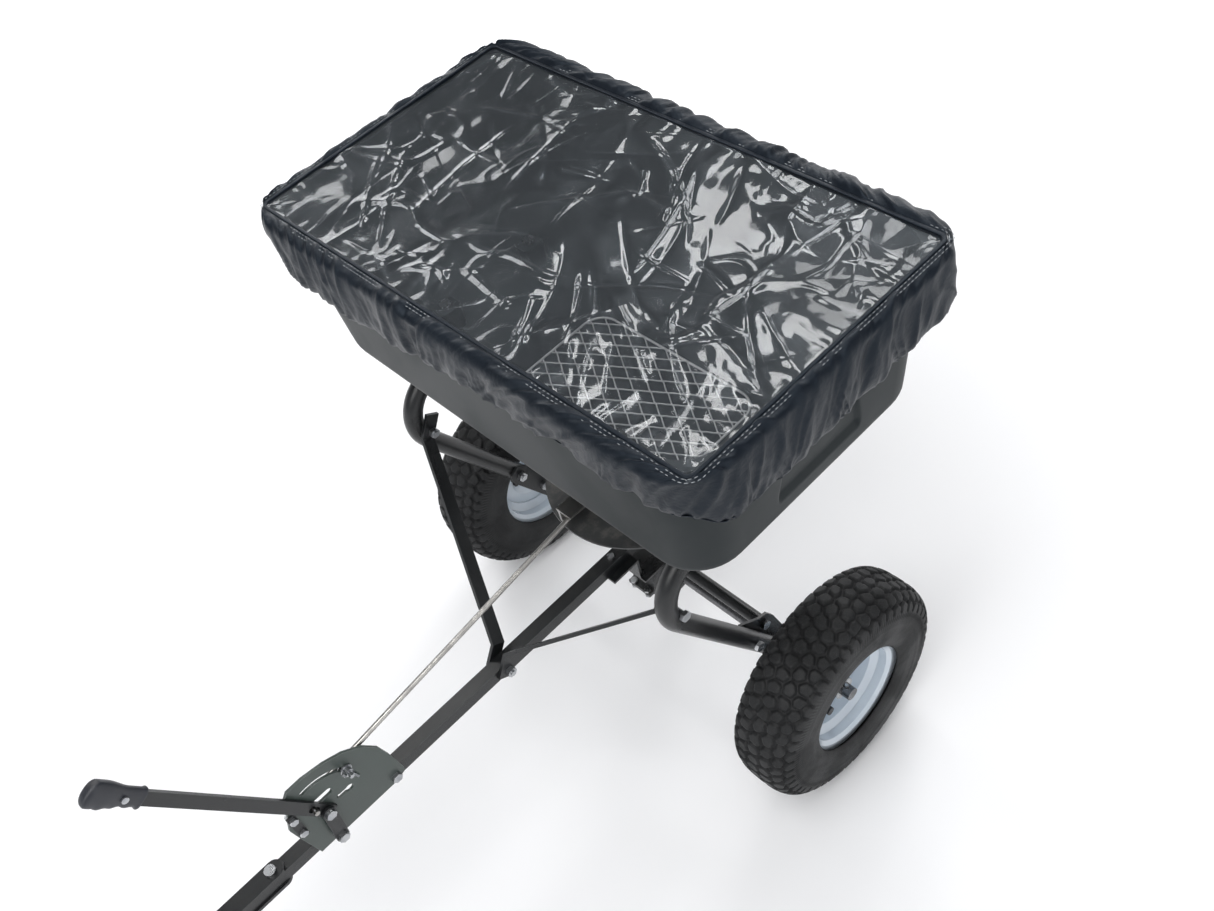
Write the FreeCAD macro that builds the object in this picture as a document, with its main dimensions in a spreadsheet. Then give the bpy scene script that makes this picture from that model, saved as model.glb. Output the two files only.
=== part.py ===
import FreeCAD, Part
import math
import os
import re
import Sketcher
from FreeCAD import Placement, Rotation, Vector

# Tow-behind broadcast spreader.
# Frame: +X towards the hitch, +Y to the left, +Z up, ground at Z = 0.
# Lengths along X are given from the axle; axle_x moves them so that the whole
# machine is centred on X = 0.

os.makedirs("parts", exist_ok=True)
doc = FreeCAD.newDocument("garden_spreader")
sheet = doc.addObject("Spreadsheet::Sheet", "Dims")

SIZES = """
tyre_radius 165        | outside radius of the pneumatic tyre
tyre_width 98          | section width of the tyre
tyre_wall 7            | wall of the tyre
rim_lip 92.5           | outside radius of the rim lip
rim_half 36.5          | half of the width over the rim lips
bead_radius 76.5       | radius of the bead seat
well_radius 66         | radius of the rim well
rim_wall 2.5           | sheet of the rim
wheel_y 315            | middle plane of each wheel
valve_x 38             | valve hole ahead of the axle
valve_radius 4.8       | valve stem
axle_radius 9.5        | solid axle
axle_half 348          | axle end from the middle plane
run_gap 0.05           | radial play of a running shaft
hub_wall 5             | wall of the wheel hub tube
hub_back 20            | outer hub end inside the rim lip
tube_radius 13.5       | bent frame tubes
tube_wall 1.6          | wall of the frame tubes
tube_y 238             | plane of each bent frame tube
leg_start 34           | lower end of the tube, from the axle
bend_x 199             | corner of the front bend, ahead of the axle
bend_z 503             | height of that corner
bend_fillet 62         | centreline radius of the front bend
knee_x 104             | corner of the upper bend
run_rear 112           | rear end of the tube behind the axle
knee_fillet 50         | centreline radius of the upper bend
run_z 567.5            | height of the level run under the hopper
plate_gap 4            | thickness of the axle brackets
cross_radius 9         | crossover tube
cross_x 25             | crossover tube ahead of the axle
tongue_side 20         | square tongue tube
tongue_wall 2          | wall of the tongue
tongue_z 270           | centre height of the tongue
tongue_rear 13         | rear end of the tongue ahead of the axle
tongue_front 800       | front end of the tongue
strap_width 25         | hitch straps
strap_wall 5           | thickness of the hitch straps
strap_rear 668         | rear end of the hitch straps
hitch_x 872            | hitch pin hole
hitch_hole 8.25        | radius of the hitch pin hole
strap_bolt_a 685       | rear bolt of the hitch straps
strap_bolt_b 770       | front bolt of the hitch straps
drum_radius 48         | outside radius of the gear housing
drum_half 22           | half width of the gear housing
drum_wall 3.5          | wall of the gear housing
flange_reach 58        | flange of the gear housing, from the axle
flange_wall 3          | thickness of each flange
neck_top 50            | top pad of the housing above the axle
shaft_radius 6.35      | impeller shaft
ring_pitch 32          | pitch radius of the ring gear
ring_teeth 32          | teeth on the ring gear
pinion_teeth 10        | teeth on the pinion
impeller_radius 133    | impeller disc
impeller_z 388         | underside of the impeller disc
disc_wall 3            | thickness of the impeller disc
vane_height 14         | impeller vanes
floor_z 434            | underside of the hopper floor
hopper_wall 4          | wall of the hopper
floor_half_x 75        | hopper floor along X
floor_half_y 86        | hopper floor along Y
funnel_z 570           | top of the steep funnel
funnel_half_x 130      | funnel top along X
funnel_half_y 190      | funnel top along Y
shelf_z 617            | lower edge of the hopper sides
shelf_half_x 184       | lower edge of the sides along X
shelf_half_y 328       | lower edge of the sides along Y
rim_z 823              | top of the hopper rim
rim_in_x 192           | hopper sides at the rim along X
rim_in_y 350           | hopper sides at the rim along Y
lip_reach 12           | turned-out lip of the hopper
lip_wall 5             | thickness of that lip
hopper_x 3             | centre of the hopper ahead of the axle
corner_radius 58       | corners of the hopper sides
screen_z 526           | height of the hopper screen
screen_bar 3           | bars of the screen
screen_step_y 32       | pitch of the bars across the hopper
screen_step_x 28       | pitch of the bars along the hopper
gate_wall 3            | gate plate
gate_half 42           | half width of the gate plate
gate_stroke 24         | travel of the gate
outlet_near 18         | outlet starts this far behind the shaft
outlet_long 22         | outlet length along X
rod_radius 3.5         | flow control rod
rod_z 417              | rod height at the gate
rod_x 128              | rod hook at the gate
pin_reach 24           | lever pivot to rod pin
pivot_x 590            | lever pivot ahead of the axle
pivot_z 328            | height of the lever pivot
lever_angle 63         | lever above the horizontal, leaning forward
lever_length 355       | pivot to the end of the grip
lever_width 18         | lever bar
lever_wall 5           | lever bar thickness
control_wall 4         | control plate
slot_arc 57            | radius of the stop slot
stop_angle 145         | stop bolt above the horizontal
stop_radius 3          | stop bolt
bolt_radius 4          | M8 fasteners
small_bolt 3           | M6 fasteners
hole_gap 0.25          | clearance of a bolt in its hole
face_gap 0.5           | play between faces that slide
brace_x 166            | brace bolt on the frame tube
brace_z 474            | height of that bolt
brace_front 300        | brace bolt on the tongue
brace_width 20         | brace bar
brace_wall 5           | brace bar thickness
brace_tab 19           | half length of the flat brace tabs
leg_bolt_near 68       | first bracket bolt, from the axle
leg_bolt_far 128       | second bracket bolt, from the axle
pad_front 70           | hopper bolt ahead of the axle
pad_rear 80            | hopper bolt behind the axle
cover_gap 6            | air between hopper lip and cover skirt
cover_wall 3           | cover fabric with its folds
cover_drop 82          | depth of the cover skirt
seam_x 190             | window seam along X
seam_y 352             | window seam along Y
window_wall 1.5        | clear film with its folds
"""

FORMULAS = """
rear_reach =rim_in_x + lip_reach + cover_gap + cover_wall - hopper_x
front_reach =hitch_x + strap_width * 0.5 + hitch_hole
axle_x =(rear_reach - front_reach) * 0.5
axle_z =tyre_radius
tongue_top =tongue_z + tongue_side * 0.5
tongue_low =tongue_z - tongue_side * 0.5
leg_angle =atan((bend_z - axle_z) / bend_x)
plate_out =tube_y - tube_radius
cross_z =tongue_low - cross_radius
ratio_gear =ring_teeth / pinion_teeth
pinion_pitch =ring_pitch / ratio_gear
control_in =tongue_side * 0.5
control_out =control_in + control_wall
lever_in =control_out + 1
lever_out =lever_in + lever_wall
pin_x =pivot_x + pin_reach * cos(lever_angle)
pin_z =pivot_z + pin_reach * sin(lever_angle)
gate_z =floor_z - face_gap - gate_wall
cover_in_x =rim_in_x + lip_reach + cover_gap
cover_in_y =rim_in_y + lip_reach + cover_gap
cover_under =rim_z + face_gap
slope_x =(funnel_half_x - floor_half_x) / (funnel_z - floor_z)
slope_y =(funnel_half_y - floor_half_y) / (funnel_z - floor_z)
"""

NAMES = []


def fill_sheet():
    """Write every size and formula as one row with an alias."""
    row = 1
    for line in SIZES.strip().splitlines():
        left, note = line.split("|")
        name, number = left.split()
        sheet.set(f"A{row}", note.strip())
        sheet.set(f"B{row}", number)
        sheet.setAlias(f"B{row}", name)
        NAMES.append(name)
        row += 1
    for line in FORMULAS.strip().splitlines():
        name, formula = line.split(" =")
        text = re.sub(r"(cos|sin)\((\w+)\)", r"\1(\2 * 1deg)", formula)
        if name == "leg_angle":
            text = text + " / 1deg"
        sheet.set(f"A{row}", "worked out")
        sheet.set(f"B{row}", "=" + text)
        sheet.setAlias(f"B{row}", name)
        NAMES.append(name)
        row += 1
    doc.recompute()


fill_sheet()
nodes = []
count = [0]


def num(name):
    """Number held by a sheet cell."""
    value = sheet.get(name)
    return float(getattr(value, "Value", value))


def link(text):
    """Turn plain size names into references to the sheet."""
    def swap(match):
        word = match.group(0)
        return "Dims." + word if word in NAMES else word
    return re.sub(r"[a-z_][a-z_0-9]*", swap, str(text))


def make(kind, label="step"):
    """Add a document object with a running name."""
    count[0] += 1
    return doc.addObject(kind, f"{label}{count[0]}")


def at(obj, x, y, z, turn=None):
    """Place an object at sheet expressions, X counted from the axle."""
    obj.Placement = Placement(Vector(), turn or Rotation())
    obj.setExpression("Placement.Base.x", link(f"axle_x + ({x})"))
    obj.setExpression("Placement.Base.y", link(y))
    obj.setExpression("Placement.Base.z", link(z))
    return obj


def box(x0, x1, y0, y1, z0, z1):
    """Box between two corners."""
    part = make("Part::Box")
    part.setExpression("Length", link(f"({x1}) - ({x0})"))
    part.setExpression("Width", link(f"({y1}) - ({y0})"))
    part.setExpression("Height", link(f"({z1}) - ({z0})"))
    return at(part, x0, y0, z0)


TURN = {"x": Rotation(Vector(0, 1, 0), 90), "y": Rotation(Vector(1, 0, 0), -90), "z": Rotation()}


def spot(axis, p, q, a):
    """Coordinates of the point a along the axis, with p and q the other two in order."""
    return {"x": (a, p, q), "y": (p, a, q), "z": (p, q, a)}[axis]


def rod(axis, radius, p, q, a, b):
    """Cylinder along an axis from a to b."""
    part = make("Part::Cylinder")
    part.setExpression("Radius", link(radius))
    part.setExpression("Height", link(f"({b}) - ({a})"))
    return at(part, *spot(axis, p, q, a), TURN[axis])


def hexagon(axis, radius, p, q, a, b):
    """Six-sided prism along an axis."""
    part = make("Part::Prism")
    part.Polygon = 6
    part.setExpression("Circumradius", link(radius))
    part.setExpression("Height", link(f"({b}) - ({a})"))
    return at(part, *spot(axis, p, q, a), TURN[axis])


def fuse(*parts):
    """One solid from several."""
    if len(parts) == 1:
        return parts[0]
    joined = make("Part::MultiFuse")
    joined.Shapes = list(parts)
    joined.Refine = True
    return joined


def cut(base, *tools):
    """Base with the tools taken away."""
    left = make("Part::Cut")
    left.Base = base
    left.Tool = fuse(*tools)
    left.Refine = True
    return left


def common(one, two):
    """Overlap of two solids."""
    both = make("Part::MultiCommon")
    both.Shapes = [one, two]
    return both


def group(*parts):
    """Separate solids kept in one node."""
    held = make("Part::Compound")
    held.Links = list(parts)
    return held


def node(name, part):
    """Give a finished sub-part its label."""
    part.Label = name
    nodes.append(part)
    return part


def computed(shape):
    """Feature for a shape worked out from the sheet, moved to the axle's place."""
    part = make("Part::Feature")
    part.Shape = shape
    part.Placement = Placement(Vector(num("axle_x"), 0, 0), Rotation())
    return part


def bolt(axis, p, q, a, b, radius, round_head=False):
    """Bolt from its head face a to its nut face b, with washerless hex nut."""
    way = 1 if num_of(b) > num_of(a) else -1
    sign = "+" if way > 0 else "-"
    other = "-" if way > 0 else "+"
    head_end = f"({a}) {other} ({radius}) * 1.3"
    nut_end = f"({b}) {sign} ({radius}) * 1.6"
    tip = f"({b}) {sign} ({radius}) * 2.2"
    pairs = [(head_end, a), (b, nut_end), (a, tip)]
    if way < 0:
        pairs = [(second, first) for first, second in pairs]
    head_maker = rod if round_head else hexagon
    head = head_maker(axis, f"({radius}) * 1.9", p, q, *pairs[0])
    nut = hexagon(axis, f"({radius}) * 1.9", p, q, *pairs[1])
    shank = rod(axis, radius, p, q, *pairs[2])
    return fuse(head, nut, shank)


def num_of(text):
    """Value of a plain sum of sheet names and numbers."""
    total = 0.0
    for sign, word in re.findall(r"([+-]?)\s*([a-z_0-9.]+)", str(text)):
        value = num(word) if word in NAMES else float(word)
        total += -value if sign == "-" else value
    return total


def hole(axis, p, q, a, b, radius):
    """Clearance hole for a bolt."""
    return rod(axis, f"({radius}) + hole_gap", p, q, a, b)


def new_body():
    """PartDesign body with its origin planes looked up by role."""
    body = make("PartDesign::Body", "body")
    planes = {item.Role: item for item in body.Origin.OriginFeatures}
    return body, planes


def polygon_sketch(body, plane, loops, circles=()):
    """Sketch of closed loops and circles whose points are bound to the sheet."""
    sketch = body.newObject("Sketcher::SketchObject", f"sketch{count[0]}")
    sketch.AttachmentSupport = (plane, [""])
    sketch.MapMode = "FlatFace"
    for loop in loops:
        size = len(loop)
        start = [(90 * math.cos(6.2832 * i / size), 90 * math.sin(6.2832 * i / size))
                 for i in range(size)]
        first = sketch.GeometryCount
        for i in range(size):
            one = Vector(*start[i], 0)
            two = Vector(*start[(i + 1) % size], 0)
            sketch.addGeometry(Part.LineSegment(one, two), False)
        for i in range(size):
            nxt = first + (i + 1) % size
            sketch.addConstraint(SketchRule("Coincident", first + i, 2, nxt, 1))
            bind_point(sketch, first + i, 1, *loop[i], start[i])
    for x, y, radius in circles:
        index = sketch.addGeometry(Part.Circle(Vector(1, 1, 0), Vector(0, 0, 1), 5), False)
        bind_point(sketch, index, 3, x, y, (1, 1))
        rule = sketch.addConstraint(SketchRule("Radius", index, 5.0))
        sketch.setExpression(f"Constraints[{rule}]", link(radius))
    return sketch


def SketchRule(*values):
    """Sketcher constraint."""
    return Sketcher.Constraint(*values)


def bind_point(sketch, index, pos, x, y, start):
    """Fix one sketch point at two sheet expressions."""
    for kind, text, value in (("DistanceX", x, start[0]), ("DistanceY", y, start[1])):
        rule = sketch.addConstraint(SketchRule(kind, -1, 1, index, pos, float(value)))
        sketch.setExpression(f"Constraints[{rule}]", link(text))


def pad(body, sketch, length, reverse=False, middle=False):
    """Pad a sketch by a sheet length."""
    made = body.newObject("PartDesign::Pad", f"pad{count[0]}")
    made.Profile = sketch
    made.Reversed = reverse
    made.Midplane = middle
    made.setExpression("Length", link(length))
    body.Tip = made
    return made


def spin_body(loop):
    """Body made by turning a section (radius, along) about Y."""
    body, planes = new_body()
    sketch = polygon_sketch(body, planes["XY_Plane"], [loop])
    made = body.newObject("PartDesign::Revolution", f"turned{count[0]}")
    made.Profile = sketch
    made.ReferenceAxis = (sketch, ["V_Axis"])
    made.Angle = 360
    body.Tip = made
    return body


def pattern(body, source, planes_axis, number):
    """Polar pattern of a feature about a body axis."""
    made = body.newObject("PartDesign::PolarPattern", f"ring{count[0]}")
    made.Originals = [source]
    made.Axis = (planes_axis, [""])
    made.Angle = 360
    made.setExpression("Occurrences", link(number))
    body.Tip = made
    return made


# ---------------------------------------------------------------- wheels
def rim_section(flip):
    """Rim: two lips, bead seats, well, dished disc and hub tube in one loop."""
    wall = "rim_wall"
    half = "rim_half"
    outer = [
        ("rim_lip", half), ("rim_lip", f"{half} - {wall}"), ("bead_radius + 4", f"{half} - {wall}"),
        ("bead_radius", f"{half} - 6"), ("bead_radius", "18"), ("well_radius", "11"),
        ("well_radius", "-11"), ("bead_radius", "-18"), ("bead_radius", f"6 - {half}"),
        ("bead_radius + 4", f"{wall} - {half}"), ("rim_lip", f"{wall} - {half}"),
        ("rim_lip", f"-{half}"), ("bead_radius + 3", f"-{half}"),
        (f"bead_radius - {wall}", f"4.5 - {half}"), (f"bead_radius - {wall}", "-19.5"),
        (f"well_radius - {wall}", "-12.4"), (f"well_radius - {wall}", "-9"),
        ("46", "-11"), ("28", "0"), ("axle_radius + hub_wall", "2"),
        ("axle_radius + hub_wall", "-38"), ("axle_radius + run_gap", "-38"),
        ("axle_radius + run_gap", f"{half} - hub_back"), ("axle_radius + hub_wall", f"{half} - hub_back"),
        ("axle_radius + hub_wall", "5"), ("29", "3"), ("47", "-8"),
        (f"well_radius - {wall}", "-6"), (f"well_radius - {wall}", "12.4"),
        (f"bead_radius - {wall}", "19.5"), (f"bead_radius - {wall}", f"{half} - 4.5"),
        ("bead_radius + 3", half),
    ]
    return [(r, y if flip > 0 else f"-({y})") for r, y in outer]


def tyre_section():
    """Tyre: hollow section seated on the beads, crown at the full radius."""
    edge = "tyre_width * 0.5"
    outside = [
        ("bead_radius", "rim_half - 6"), ("bead_radius + 4", "rim_half - rim_wall"),
        ("rim_lip + 2", "rim_half - rim_wall"),
        ("bead_radius + 26", f"{edge} - 5"), ("bead_radius + 42", edge),
        ("tyre_radius - 28", edge), ("tyre_radius - 14", f"{edge} - 4"),
        ("tyre_radius - 5", f"{edge} - 14"), ("tyre_radius", f"{edge} - 30"),
    ]
    inside = [
        ("tyre_radius - tyre_wall - 5", f"{edge} - 32"),
        ("tyre_radius - 12 - tyre_wall", f"{edge} - 8 - tyre_wall"),
        ("tyre_radius - 28 - tyre_wall", f"{edge} - tyre_wall"),
        ("bead_radius + 42", f"{edge} - tyre_wall"),
        ("bead_radius + 20", "rim_half - 5 - tyre_wall"), ("bead_radius", "rim_half - 8 - tyre_wall"),
    ]
    up = outside + [(r, f"-({y})") for r, y in reversed(outside)]
    down = [(r, f"-({y})") for r, y in reversed(inside)]
    return up + down + inside


def wheel(side, name):
    """Rim, tyre and valve of one wheel."""
    middle = "wheel_y" if side > 0 else "-wheel_y"
    rim = spin_body(rim_section(side))
    at(rim, "0", middle, "axle_z")
    stem_y = f"({middle}) + ({side}) * "
    stem_hole = [f"({middle}) - 14", f"({middle}) + 14"]
    bore = rod("y", "valve_radius + 0.2", "valve_x", "axle_z", stem_hole[0], stem_hole[1])
    tools = [bore]
    if side > 0:
        tools.append(hole("z", "0", "wheel_y - 26", "axle_z - 30", "axle_z + 30", "2.5"))
    node(f"rim_{name}", cut(rim, *tools))
    tyre = spin_body(tyre_section())
    at(tyre, "0", middle, "axle_z")
    node(f"tyre_{name}", tyre)
    if side > 0:
        spans = (stem_y + "(-13)", stem_y + "17", stem_y + "17", stem_y + "27")
    else:
        spans = (stem_y + "17", stem_y + "(-13)", stem_y + "27", stem_y + "17")
    stem = rod("y", "valve_radius", "valve_x", "axle_z", spans[0], spans[1])
    cap = rod("y", "valve_radius + 1.2", "valve_x", "axle_z", spans[2], spans[3])
    node(f"valve_stem_{name}", fuse(stem, cap))


wheel(1, "left")
wheel(-1, "right")

pin_at = "axle_half - 9.5"
drive_pin_y = "wheel_y - 26"
axle_bar = rod("y", "axle_radius", "0", "axle_z", "-axle_half", "axle_half")
cross_pins = [hole("z", "0", y, "axle_z - 20", "axle_z + 20", "2.5")
              for y in (pin_at, f"-({pin_at})", drive_pin_y)]
node("axle", cut(axle_bar, *cross_pins))


def axle_end(side):
    """Washer and cross pin outside one hub."""
    hub_end = "wheel_y + rim_half - hub_back"
    if side > 0:
        ring = rod("y", "axle_radius + 7", "0", "axle_z", f"{hub_end} + 0.3", f"{hub_end} + 2.3")
        bore = rod("y", "axle_radius + 0.1", "0", "axle_z", f"{hub_end} - 5", f"{hub_end} + 9")
    else:
        ring = rod("y", "axle_radius + 7", "0", "axle_z", f"-({hub_end}) - 2.3", f"-({hub_end}) - 0.3")
        bore = rod("y", "axle_radius + 0.1", "0", "axle_z", f"-({hub_end}) - 9", f"-({hub_end}) + 5")
    y = pin_at if side > 0 else f"-({pin_at})"
    pin = rod("z", "2.5", "0", y, "axle_z - 15", "axle_z + 15")
    return cut(ring, bore), pin


left_washer, left_pin = axle_end(1)
right_washer, right_pin = axle_end(-1)
node("axle_washers", group(left_washer, right_washer))
drive_pin = rod("z", "2.5", "0", drive_pin_y, "axle_z - axle_radius - hub_wall - 2",
                "axle_z + axle_radius + hub_wall + 2")
node("axle_cross_pins", group(left_pin, right_pin, drive_pin))


# ---------------------------------------------------------------- bent frame tubes
def soft_path(points, radii):
    """Straight runs joined by tangent arcs of the given radii."""
    edges = []
    last = points[0]
    for i in range(1, len(points) - 1):
        corner = points[i]
        one = (points[i - 1] - corner).normalize()
        two = (points[i + 1] - corner).normalize()
        half = one.getAngle(two) / 2
        back = radii[i - 1] / math.tan(half)
        start = corner + one * back
        end = corner + two * back
        centre = corner + (one + two).normalize() * (radii[i - 1] / math.sin(half))
        middle = centre + (corner - centre).normalize() * radii[i - 1]
        edges.append(Part.makeLine(last, start))
        edges.append(Part.Arc(start, middle, end).toShape())
        last = end
    edges.append(Part.makeLine(last, points[-1]))
    return Part.Wire(edges)


def swept(points, radii, radius):
    """Round bar along a soft path."""
    path = soft_path(points, radii)
    first = points[0]
    ring = Part.Wire([Part.makeCircle(radius, first, points[1] - first)])
    return path.makePipeShell([ring], True, False)


def leg_point(distance, across=0.0):
    """Point on the lower leg at a distance from the axle, across towards the front."""
    angle = math.radians(num("leg_angle"))
    x = distance * math.cos(angle) + across * math.sin(angle)
    z = num("axle_z") + distance * math.sin(angle) - across * math.cos(angle)
    return x, z


leg_bolts = (num("leg_bolt_near"), num("leg_bolt_far"))
pad_x = ("pad_front", "-pad_rear")


def frame_tube(side, name):
    """Leg up from the axle, front bend, rise and level run under the hopper."""
    y = side * num("tube_y")
    x0, z0 = leg_point(num("leg_start"))
    run_z = num("run_z")
    points = [Vector(x0, y, z0), Vector(num("bend_x"), y, num("bend_z")),
              Vector(num("knee_x"), y, run_z), Vector(-num("run_rear"), y, run_z)]
    bends = [num("bend_fillet"), num("knee_fillet")]
    outer = swept(points, bends, num("tube_radius"))
    inner = swept(points, bends, num("tube_radius") - num("tube_wall"))
    tube = computed(outer.cut(inner))
    low, high = f"{y} - 30", f"{y} + 30"
    tools = []
    for distance in leg_bolts:
        x, z = leg_point(distance)
        tools.append(hole("y", x, z, low, high, "bolt_radius"))
    for x in pad_x:
        tools.append(hole("z", x, y, run_z - 30, run_z + 30, "bolt_radius"))
    tools.append(hole("y", "brace_x", "brace_z", low, high, "bolt_radius"))
    node(f"frame_tube_{name}", cut(tube, *tools))


def bracket(side, name):
    """Plate that carries the axle bush, the leg and the end of the crossover tube."""
    body, planes = new_body()
    lobe = (num("cross_x"), num("cross_z") - num("axle_z"))
    angle = math.radians(num("leg_angle"))
    along = lobe[0] * math.cos(angle) + lobe[1] * math.sin(angle)
    off = lobe[0] * math.sin(angle) - lobe[1] * math.cos(angle)
    loop = [(-24, 12), (-12, 24), (12, 24), (32, 15), (138, 15), (146, 7), (146, -10),
            (along + 22, off - 4), (along + 10, off - 15), (along - 10, off - 15),
            (14, -24), (-12, -24), (-24, -12)]
    sketch = polygon_sketch(body, planes["XY_Plane"], [[(str(a), str(b)) for a, b in loop]])
    pad(body, sketch, "plate_gap")
    turn = Rotation(Vector(math.cos(angle), 0, math.sin(angle)),
                    Vector(math.sin(angle), 0, -math.cos(angle)), Vector(0, 1, 0), "ZXY")
    base = "plate_out - plate_gap" if side > 0 else "-plate_out"
    at(body, "0", base, "axle_z", turn)
    low, high = (f"({base}) - 5", f"({base}) + 10")
    tools = [rod("y", "axle_radius + 4", "0", "axle_z", low, high),
             hole("y", "cross_x", "cross_z", low, high, "bolt_radius")]
    for distance in leg_bolts:
        x, z = leg_point(distance)
        tools.append(hole("y", x, z, low, high, "bolt_radius"))
    node(f"axle_bracket_{name}", cut(body, *tools))
    if side > 0:
        spans = ("plate_out - plate_gap - 6", "plate_out + 3", "plate_out", "plate_out + 3")
    else:
        spans = ("-plate_out - 3", "plate_gap + 6 - plate_out", "-plate_out - 3", "-plate_out")
    barrel = rod("y", "axle_radius + 4", "0", "axle_z", spans[0], spans[1])
    flange = rod("y", "axle_radius + 9", "0", "axle_z", spans[2], spans[3])
    bore = rod("y", "axle_radius + run_gap", "0", "axle_z", f"({spans[0]}) - 5", f"({spans[1]}) + 5")
    bushes.append(cut(fuse(barrel, flange), bore))


bushes = []
for side, name in ((1, "left"), (-1, "right")):
    frame_tube(side, name)
    bracket(side, name)
node("axle_bushes", group(*bushes))

frame_bolts = []
for side in (1, -1):
    for distance in leg_bolts:
        x, z = leg_point(distance)
        y_in = side * (num("plate_out") - num("plate_gap"))
        y_out = side * (num("tube_y") + num("tube_radius"))
        frame_bolts.append(bolt("y", x, z, y_out, y_in, "bolt_radius"))
node("frame_bolts", group(*frame_bolts))

cross_half = "plate_out - plate_gap"
cross_bar = rod("y", "cross_radius", "cross_x", "cross_z", f"-({cross_half})", cross_half)
cross_bore = rod("y", "cross_radius - 1.5", "cross_x", "cross_z",
                 f"20 - ({cross_half})", f"({cross_half}) - 20")
end_bores = [hole("y", "cross_x", "cross_z", f"-({cross_half}) - 1", f"19 - ({cross_half})", "bolt_radius"),
             hole("y", "cross_x", "cross_z", f"({cross_half}) - 19", f"({cross_half}) + 1", "bolt_radius")]
mid_bore = hole("z", "cross_x", "0", "cross_z - 20", "cross_z + 20", "small_bolt")
node("crossover_tube", cut(cross_bar, cross_bore, mid_bore, *end_bores))


def end_bolt(side):
    """Screw through the bracket into the solid end of the crossover tube."""
    face = "plate_out"
    if side > 0:
        head = hexagon("y", "bolt_radius * 1.9", "cross_x", "cross_z", face, f"{face} + 5")
        shank = rod("y", "bolt_radius", "cross_x", "cross_z", f"{face} - 20", face)
    else:
        head = hexagon("y", "bolt_radius * 1.9", "cross_x", "cross_z", f"-{face} - 5", f"-{face}")
        shank = rod("y", "bolt_radius", "cross_x", "cross_z", f"-{face}", f"20 - {face}")
    return fuse(head, shank)


node("crossover_screws", group(end_bolt(1), end_bolt(-1)))

# ---------------------------------------------------------------- tongue and hitch
tongue_bar = box("tongue_rear", "tongue_front", "-tongue_side * 0.5", "tongue_side * 0.5",
                 "tongue_low", "tongue_top")
tongue_bore = box("tongue_rear - 5", "tongue_front + 5", "tongue_wall - tongue_side * 0.5",
                  "tongue_side * 0.5 - tongue_wall", "tongue_low + tongue_wall",
                  "tongue_top - tongue_wall")
lower_bolt_x = "pivot_x + 5"
rear_bolt_x = "pivot_x - 90"
tongue_holes = [
    hole("z", "cross_x", "0", "tongue_low - 9", "tongue_top + 9", "small_bolt"),
    hole("z", "88", "0", "tongue_low - 9", "tongue_top + 9", "small_bolt"),
    hole("y", "brace_front", "tongue_z", "-30", "30", "bolt_radius"),
    hole("y", lower_bolt_x, "tongue_z", "-30", "30", "bolt_radius"),
    hole("y", rear_bolt_x, "tongue_z", "-30", "30", "bolt_radius"),
    hole("z", "strap_bolt_a", "0", "tongue_low - 9", "tongue_top + 9", "bolt_radius"),
    hole("z", "strap_bolt_b", "0", "tongue_low - 9", "tongue_top + 9", "bolt_radius")]
node("tongue", cut(tongue_bar, tongue_bore, *tongue_holes))


def hitch_strap(name, z0):
    """Flat strap with rounded ends, two bolt holes and the hitch pin hole."""
    z1 = f"({z0}) + strap_wall"
    half = "strap_width * 0.5"
    flat = box(f"strap_rear + {half}", "hitch_x", f"-{half}", half, z0, z1)
    rear = rod("z", half, f"strap_rear + {half}", "0", z0, z1)
    eye = rod("z", f"{half} + hitch_hole", "hitch_x", "0", z0, z1)
    low, high = f"({z0}) - 3", f"({z1}) + 3"
    holes = [hole("z", x, "0", low, high, "bolt_radius") for x in ("strap_bolt_a", "strap_bolt_b")]
    holes.append(rod("z", "hitch_hole", "hitch_x", "0", low, high))
    node(name, cut(fuse(flat, rear, eye), *holes))


hitch_strap("hitch_strap_upper", "tongue_top")
hitch_strap("hitch_strap_lower", "tongue_low - strap_wall")
node("hitch_bolts", group(*[bolt("z", x, "0", "tongue_top + strap_wall", "tongue_low - strap_wall",
                                 "bolt_radius", True) for x in ("strap_bolt_a", "strap_bolt_b")]))


# ---------------------------------------------------------------- braces
def brace(side, name):
    """Flat bar with two bent tabs, from the frame tube to the side of the tongue."""
    dx = num("brace_front") - num("brace_x")
    dz = num("tongue_z") - num("brace_z")
    run = math.hypot(dx, dz)
    wall = num("brace_wall")
    y_top = num("tube_y") - num("tube_radius")
    y_low = num("tongue_side") / 2
    tab = num("brace_tab")
    lean = math.atan2(y_top - y_low - wall, run - 2 * tab)
    skew = wall * math.tan(lean / 2)
    loop = [(-tab, y_top), (tab, y_top), (run - tab, y_low + wall), (run + tab, y_low + wall),
            (run + tab, y_low), (run - tab - skew, y_low), (tab - skew, y_top - wall),
            (-tab, y_top - wall)]
    face = Part.Face(Part.makePolygon([Vector(a, b, 0) for a, b in loop + loop[:1]]))
    half = num("brace_width") / 2
    bar = face.extrude(Vector(0, 0, 2 * half))
    bar.translate(Vector(0, 0, -half))
    along = Vector(dx, 0, dz).normalize()
    across = along.cross(Vector(0, 1, 0))
    matrix = Placement(Vector(num("brace_x"), 0, num("brace_z")),
                       Rotation(along, Vector(0, 1, 0), across, "XYZ"))
    solid = bar.transformed(matrix.toMatrix(), True)
    if side < 0:
        solid = solid.mirror(Vector(), Vector(0, 1, 0))
    plate = computed(solid)
    tools = [hole("y", "brace_x", "brace_z", "-300", "300", "bolt_radius"),
             hole("y", "brace_front", "tongue_z", "-30", "30", "bolt_radius")]
    node(f"brace_{name}", cut(plate, *tools))


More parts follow.
